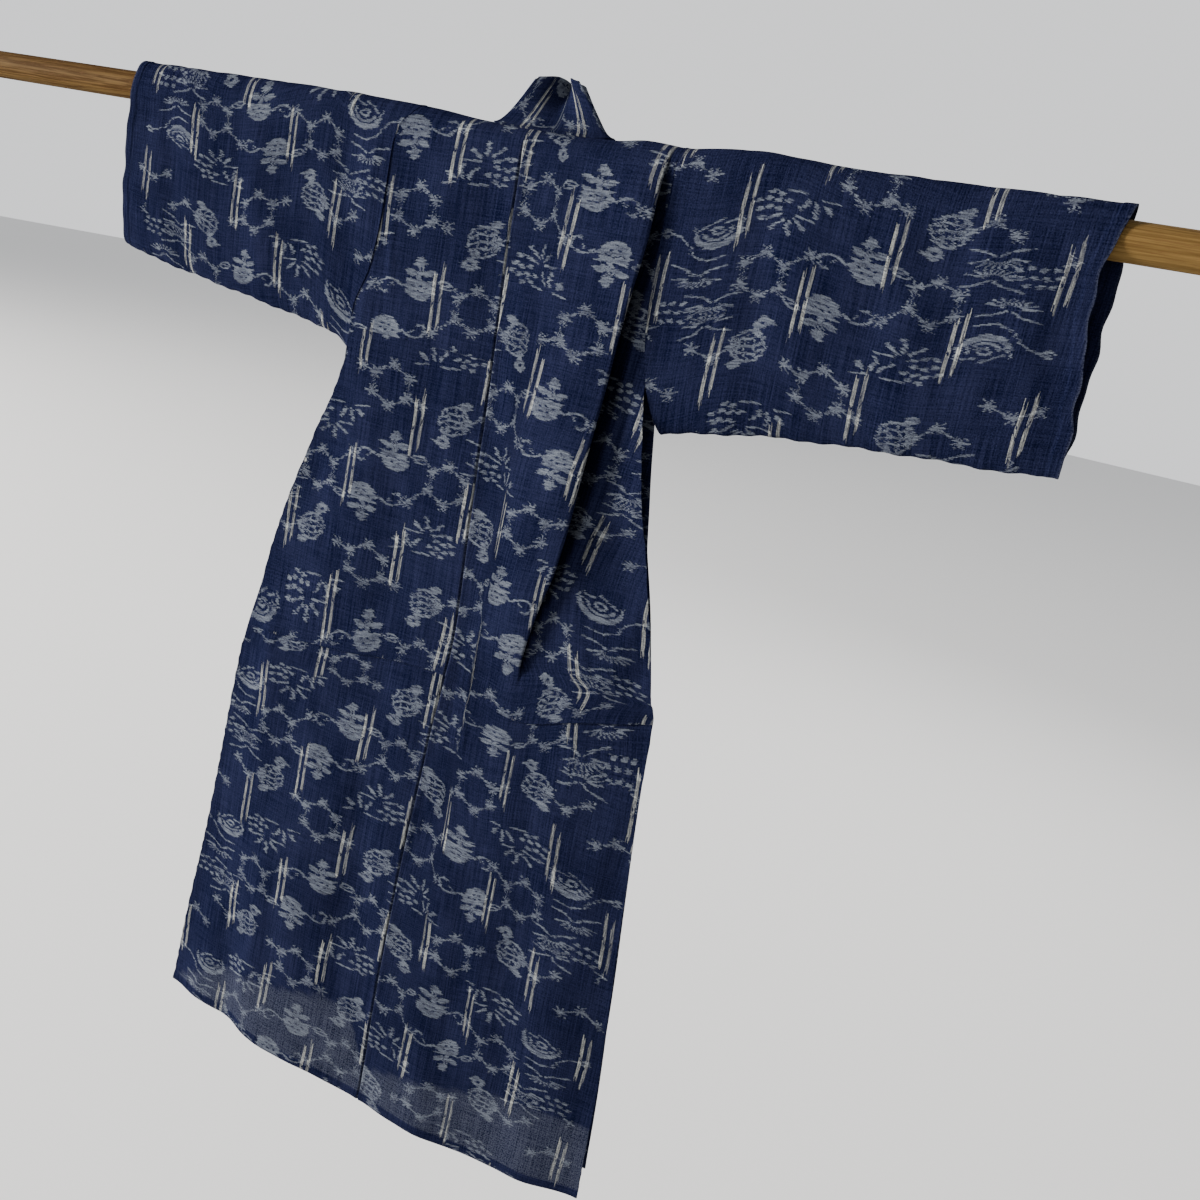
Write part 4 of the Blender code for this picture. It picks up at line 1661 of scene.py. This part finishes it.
@dataclass
class Overlap:
    """The narrow panel sewn to a front edge."""

    half: Half
    drape: Drape
    chart_start: float = 0.03
    columns: int = 26
    rows: int = 120
    thick: float = 0.0008
    hem_extra: float = 0.0007
    hem_turned_up: float = 0.009

    def build(self, material: bpy.types.Material) -> bpy.types.Object:
        """Build the panel, dress it and declare its flat cut.

        Args:
            material: the cloth's finish.

        Returns:
            The piece.
        """
        drape, side = self.drape, self.half.value
        bottom = -drape.hem_length
        heights = [bottom, bottom + 0.002, bottom + 0.0085, bottom + 0.0105]
        heights += list(np.linspace(bottom + 0.015, -drape.armhole_drop, self.rows))
        points, thick, cuts = [], [], []
        for height in reversed(heights):
            station = drape.hanging_station(Face.FRONT, height)
            start = drape.neck_middle + side * (float(drape.overlap_seam(height)) - drape.seam_gap)
            end = drape.neck_middle + side * float(drape.overlap_edge(height))
            places = np.linspace(start, end, self.columns + 1)
            rough = ripple(places, np.full(len(places), -height), 0.0004)
            points.append(drape.put(self.half, station, places, rough))
            u = side * (places - drape.neck_middle) + 0.02
            cuts.append(np.stack((u, np.full(len(places), station.run + self.chart_start),
                                  np.zeros(len(places))), -1))
            turned_up = self.hem_extra if height < bottom + self.hem_turned_up else 0.0
            thick.append(np.full(len(places), self.thick + turned_up))
        piece = sew(f"overlap_{self.half.key}", np.array(points), np.array(thick), np.array(cuts), material)
        return piece


@dataclass
class Sleeve:
    """One width of cloth, folded over the pole and sewn along the bottom."""

    half: Half
    drape: Drape
    middle_of_loom: float
    turned_over: bool
    chart_start: float
    closeness: float
    rings: int = 76
    slanted_gap: float = 0.0004
    thick: float = 0.0008
    cuff_extra: float = 0.0012
    cuff_turned_in: float = 0.008
    worn_cuff: float = 0.8
    worn_width: float = 0.0022

    def ring_stations(self) -> list:
        """Set out a ring of the sleeve: up its near side, over the pole and down its far side.

        Returns:
            The ring's stations.
        """
        drape = self.drape
        heights = [-0.2085, -0.2070, -0.2045, -0.2010, -0.1965, *np.linspace(-0.190, -0.006, 32)]
        crown = (0, 10, 20, 30, 40, 50, 60, 68, 75, 82, 90, 98, 105, 112, 120, 130, 140, 150, 160, 170, 180)
        return ([drape.hanging_station(Face.BACK, -drape.sleeve_drop)]
                + [drape.hanging_station(Face.BACK, height) for height in heights]
                + [drape.crown_station(float(angle)) for angle in crown]
                + [drape.hanging_station(Face.FRONT, height) for height in reversed(heights)])

    def cuff_place(self, station: Station) -> float:
        """Return where the cuff's edge is at a station, from its near side to its far one."""
        near, far = (float(Curve(CUFFS, "height", f"{face}_{self.half.key}")(station.height))
                     for face in ("back", "front"))
        return near + (far - near) * float(ease(station.angle / 180))

    def strip(self, station: Station, shares: Array, drop: Array) -> tuple:
        """Work out one line of points along the sleeve, from its root to its cuff.

        Args:
            station: where the line lies round the sleeve.
            shares: shares of the way out.
            drop: how far the sleeve hangs at each share.

        Returns:
            The points and their places on the flat cloth.
        """
        drape, side, height = self.drape, self.half.value, station.height
        here = height * drop / drape.sleeve_drop if height < 0 else np.full(shares.shape, height)
        roots = SIDES if height > -drape.armhole_drop else SLEEVE_ROOTS
        root = float(Curve(roots, "height", self.half.key)(height)) + side * self.slanted_gap
        cuff = self.cuff_place(station)
        edge = 1.0 - shares
        sway = math.sin(station.run * 95.0 + side) + 0.7 * math.sin(station.run * 163.0 + 2.0)
        place = root + (cuff - root) * shares
        place = place + side * (0.0010 * sway * np.exp(-edge / 0.05) - 0.0012 * ease(shares / 0.1))
        side_shift = 0.0 if station.face is Face.BACK else 1.0
        rough = ripple(place * 1.3 + 0.4 * side, here * 1.1 + side_shift, 0.0008)
        rough = rough * ease(shares / 0.06) + 0.0010 * np.exp(-shares / 0.012)
        if station.face is Face.CROWN:
            turned = math.radians(station.angle)
            reach = drape.crown_reach(place, turned) + 0.5 * np.abs(rough) * math.sin(turned)
            row = np.stack((place, -reach * math.cos(turned), reach * math.sin(turned)), -1)
        else:
            away = -1 if station.face is Face.BACK else 1
            gap = drape.sleeve_half_gap(here, drop)
            sag = np.clip(gap / drape.ride, 0.0, 1.0) * ease(-here / 0.03)
            wave = 0.0006 * np.sin(place * 92.0 + 1.7 * side) + 0.0005 * np.sin(place * 311.0 + 0.6)
            bottom = wave * ease((-here / drop - 0.88) / 0.12)
            row = np.stack((place, away * (gap + rough * sag), here + bottom), -1)
        turn = -1.0 if self.turned_over else 1.0
        u = turn * (place - self.middle_of_loom) * self.closeness
        v = station.run + self.chart_start + Curve(SLEEVE_SLIPS, "place", self.half.key)(np.abs(place))
        paling = self.worn_cuff * ease(1.0 - (edge * np.abs(cuff - root)) / self.worn_width)
        return row, np.stack((u, v, paling), -1)

    def build(self, material: bpy.types.Material) -> bpy.types.Object:
        """Build the sleeve, dress it and declare its flat cut.

        Args:
            material: the cloth's finish.

        Returns:
            The piece.
        """
        shares = np.array([0.0, *np.linspace(0.012, 0.966, self.rings),
                           0.9715, 0.9745, 0.9765, 0.9785, 0.984, 0.990, 0.9945, 0.998, 1.0])
        drop = Curve(SLEEVE_DROPS, "share", self.half.key)(shares)
        strips = [self.strip(station, shares, drop) for station in self.ring_stations()]
        middle, cut = (np.swapaxes(np.array(grid), 0, 1) for grid in zip(*strips))
        length = np.abs(middle[:, :, 0] - middle[-1:, :, 0])
        thick = self.thick + self.cuff_extra * ease(1.0 - (length - self.cuff_turned_in) / 0.0015)
        piece = sew(f"sleeve_{self.half.key}", middle, thick, cut, material, ring=True)
        return piece


@dataclass
class Collar:
    """One folded band up a front, round the back of the neck and down the other front."""

    drape: Drape
    width: float = 0.051
    end: float = 0.500
    thick: float = 0.0020
    solid_thick: float = 0.0024
    body_thick: float = 0.0012
    seam_turn: float = 1.6
    rounding: float = 0.22
    flat_by: float = 0.090
    columns: int = 18
    front_rows: int = 84
    slanted_gap: float = 0.0004
    join: float = 0.617
    closeness: float = 1.25
    chart_start: float = 0.437
    bar_step: float = 0.066
    back_shares: tuple = tuple(i / 12 for i in range(1, 12))

    def neck_spots(self, half: Half) -> list:
        """Set out spots along one side of the neck edge.

        Args:
            half: the side.

        Returns:
            Degrees, place across and the key for the lean, for each spot.
        """
        drape, side = self.drape, half.value
        seam = float(drape.back_seam(drape.ride))
        turn = NECK_ROUND[0]
        spots = []
        for share in self.back_shares:
            place = drape.neck_middle + side * share * turn.place
            end = drape.neck_middle + (turn.place if place > seam else -turn.place)
            rise = (turn.angle - drape.neck_angle) * (place - seam) / (end - seam)
            lean_key = drape.neck_angle + (turn.angle - drape.neck_angle) * share
            spots.append((drape.neck_angle + rise + self.seam_turn, place, lean_key))
        for angle in (62, 63.5, 65, 68, 71, 74, 78, 82, 86, 90, 96, 102, 110, 120, 130, 140, 150, 160, 170,
                      180):
            place = drape.neck_middle + side * (float(drape.neck_round(angle)) - self.slanted_gap)
            ahead = self.seam_turn * float(ease((90 - angle) / (90 - turn.angle)))
            spots.append((angle + ahead, place, angle))
        return spots

    def seam(self, half: Half) -> list:
        """Work out the collar's seam down one half.

        Args:
            half: the side.

        Returns:
            A point, an outward direction and a lean for each spot.
        """
        drape, side = self.drape, half.value
        leans = [Curve(LEANS, "angle", name) for name in ("inward", "forward", "up")]
        lift = (self.solid_thick - self.body_thick) / 2
        found = []
        for angle, place, key in self.neck_spots(half):
            turned = math.radians(angle)
            away = Vector((0.0, -math.cos(turned), math.sin(turned)))
            inward, forward, up = (float(lean(key)) for lean in leans)
            point = drape.put(half, Station(Face.CROWN, 0.0, angle, 0.0), np.array([place]), lift)[0]
            found.append((Vector(point), away, Vector((-side * inward, forward, up))))
        last = found[-1][2]
        for height in np.linspace(-0.006, -self.end, self.front_rows):
            table = drape.neck_side if height > -drape.armhole_drop else drape.overlap_edge
            place = drape.neck_middle + side * (float(table(height)) - self.slanted_gap)
            point = drape.put(half, drape.hanging_station(Face.FRONT, height), np.array([place]), lift)[0]
            found.append((Vector(point), Vector((0.0, 1.0, 0.0)), last))
        return found

    def build(self, material: bpy.types.Material) -> bpy.types.Object:
        """Build the band, dress it and declare its flat cut.

        Args:
            material: the cloth's finish.

        Returns:
            The piece.
        """
        drape = self.drape
        left, right = self.seam(Half.LEFT), self.seam(Half.RIGHT)
        seam_turn = math.radians(drape.neck_angle + self.seam_turn
                                 + (NECK_ROUND[0].angle - drape.neck_angle) * 0.27)
        lift = (self.solid_thick - self.body_thick) / 2
        reach = float(drape.crown_reach(drape.neck_middle, seam_turn)) + lift
        away = Vector((0.0, -math.cos(seam_turn), math.sin(seam_turn)))
        middle = (Vector((drape.neck_middle, 0, 0)) + away * reach, away,
                  Vector((0.0, LEANS[0].forward, LEANS[0].up)))
        seam = [*reversed(left), middle, *right]
        rows, cuts, run = [], [], 0.0
        for i, (point, away, lean) in enumerate(seam):
            along = seam[min(i + 1, len(seam) - 1)][0] - seam[max(i - 1, 0)][0]
            inward = away.cross(along).normalized()
            if inward.dot(lean) < 0:
                inward = -inward
            if away.y == 1.0:
                lean = lean.lerp(inward, float(ease(-point.z / self.flat_by)))
            bend = point + inward * (self.rounding * self.width)
            tip = point + lean.normalized() * self.width
            row, cut = [], []
            run += (point - seam[i - 1][0]).length if i else 0.0
            for step in range(self.columns + 1):
                share = step / self.columns
                left = 1 - share
                row.append(tuple(point * left ** 2 + bend * (2 * share * left) + tip * share ** 2))
                down = share * self.width + self.chart_start + (self.bar_step if run < self.join else 0.0)
                cut.append(((run - self.join) * self.closeness, down, 0.0))
            rows.append(row)
            cuts.append(cut)
        grid = np.array(rows)
        share = np.linspace(0.0, 1.0, self.columns + 1)
        body = self.thick * (1.0 - 0.35 * ease((share - 0.9) / 0.1))
        piece = sew("collar", grid, np.tile(body, (len(rows), 1)), np.array(cuts), material)
        return piece


@dataclass
class Studio:
    """Pale floor, soft light and the camera at the photograph's angle."""

    floor_height: float = -1.30
    floor_reach: float = 30.0
    floor_tone: tuple = (0.86, 0.855, 0.845, 1.0)
    lens: float = 33.0
    sensor: float = 36.0
    place: tuple = (0.5570, -0.8620, -0.1149)
    forward: tuple = (-0.40752, 0.87693, -0.25495)
    up: tuple = (-0.29929, 0.13552, 0.94454)
    lamps_point_at: tuple = (0.0, 0.0, -0.4)
    near_wall: tuple = (0.42, 0.43, 0.45, 1.0)
    far_wall: tuple = (1.10, 1.11, 1.13, 1.0)

    def floor(self) -> bpy.types.Object:
        """Lay the floor.

        Returns:
            The floor.
        """
        mesh = bpy.data.meshes.new("floor")
        size = self.floor_reach
        corners = [(-size, -size, 0), (size, -size, 0), (size, size, 0), (-size, size, 0)]
        mesh.from_pydata(corners, [], [(0, 1, 2, 3)])
        floor = bpy.data.objects.new("floor", mesh)
        floor.location.z = self.floor_height
        bpy.context.scene.collection.objects.link(floor)
        recipe = Recipe("pale_floor")
        recipe.shader.inputs["Base Color"].default_value = self.floor_tone
        recipe.shader.inputs["Roughness"].default_value = 0.9
        mesh.materials.append(recipe.material)
        return floor

    def walls(self) -> None:
        """Light the room evenly, brighter from the wall beyond the garment than from the near side."""
        sky = SkyRecipe("pale_world")
        place = sky.node("ShaderNodeTexCoord", {}, {})
        share = sky.split(place.outputs["Generated"])[1].spread(-0.2, 0.6)
        sky.feed(sky.shader.inputs["Color"], sky.mix(share, self.near_wall, self.far_wall))
        bpy.context.scene.world = sky.world

    def lamp(self, name: str, place: tuple, size: float, watts: float, tint: tuple) -> None:
        """Hang one soft square lamp that points at the garment.

        Args:
            name: its name.
            place: where it hangs.
            size: its width.
            watts: its power.
            tint: its colour.
        """
        light = bpy.data.lights.new(name, "AREA")
        light.shape = "SQUARE"
        light.size = size
        light.energy = watts
        light.color = tint
        lamp = bpy.data.objects.new(name, light)
        lamp.location = place
        lamp.rotation_mode = "QUATERNION"
        lamp.rotation_quaternion = (Vector(self.lamps_point_at) - Vector(place)).to_track_quat("-Z", "Y")
        bpy.context.scene.collection.objects.link(lamp)

    def camera(self) -> None:
        """Set the camera where the photograph was taken from."""
        data = bpy.data.cameras.new("camera")
        data.lens = self.lens
        data.sensor_width = self.sensor
        data.clip_start = 0.02
        camera = bpy.data.objects.new("camera", data)
        forward, up = Vector(self.forward).normalized(), Vector(self.up).normalized()
        right = forward.cross(up).normalized()
        up = right.cross(forward)
        turned = Matrix((right, up, -forward)).transposed().to_4x4()
        camera.matrix_world = Matrix.Translation(self.place) @ turned
        bpy.context.scene.collection.objects.link(camera)
        bpy.context.scene.camera = camera

    def build(self) -> None:
        """Set up floor, world, lamps and camera."""
        self.floor()
        self.walls()
        self.lamp("key", (-10.0, -4.9, 1.3), 2.6, 4350.0, (1.0, 0.97, 0.93))
        self.lamp("fill", (1.2, -2.8, 0.8), 2.4, 8.0, (0.94, 0.97, 1.0))
        self.lamp("back", (0.3, 2.6, 1.4), 2.4, 45.0, (1.0, 0.98, 0.96))
        self.camera()
        log.info("studio: floor, world, three lamps and camera")


def main() -> None:
    """Build every piece in order."""
    logging.basicConfig(level=logging.INFO, format="%(name)s: %(message)s")
    Studio().build()
    drape = Drape()
    chart = WeaversChart()
    repeat = chart.repeat * MM
    cloth = FiguredCloth().make("figured_cloth", chart)
    BodyHalf(Half.LEFT, drape, -0.099, False, -0.3586 - 6 * repeat, 0.074, step_taken=0.017).build(cloth)
    BodyHalf(Half.RIGHT, drape, 0.099, True, -0.4336 + 6 * repeat, 0.091).build(cloth)
    for half in Half:
        Overlap(half, drape).build(cloth)
    Sleeve(Half.LEFT, drape, -0.290, True, -0.041 - 9 * repeat, 1.12).build(cloth)
    Sleeve(Half.RIGHT, drape, 0.307, False, -0.0861 - 15 * repeat, 1.17).build(cloth)
    Collar(drape).build(cloth)
    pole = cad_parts["pole"]
    pole.data.materials.clear()
    pole.data.materials.append(PoleWood().make("pole_wood"))
    log.info("pole: dressed")


if __name__ == "__main__":
    main()
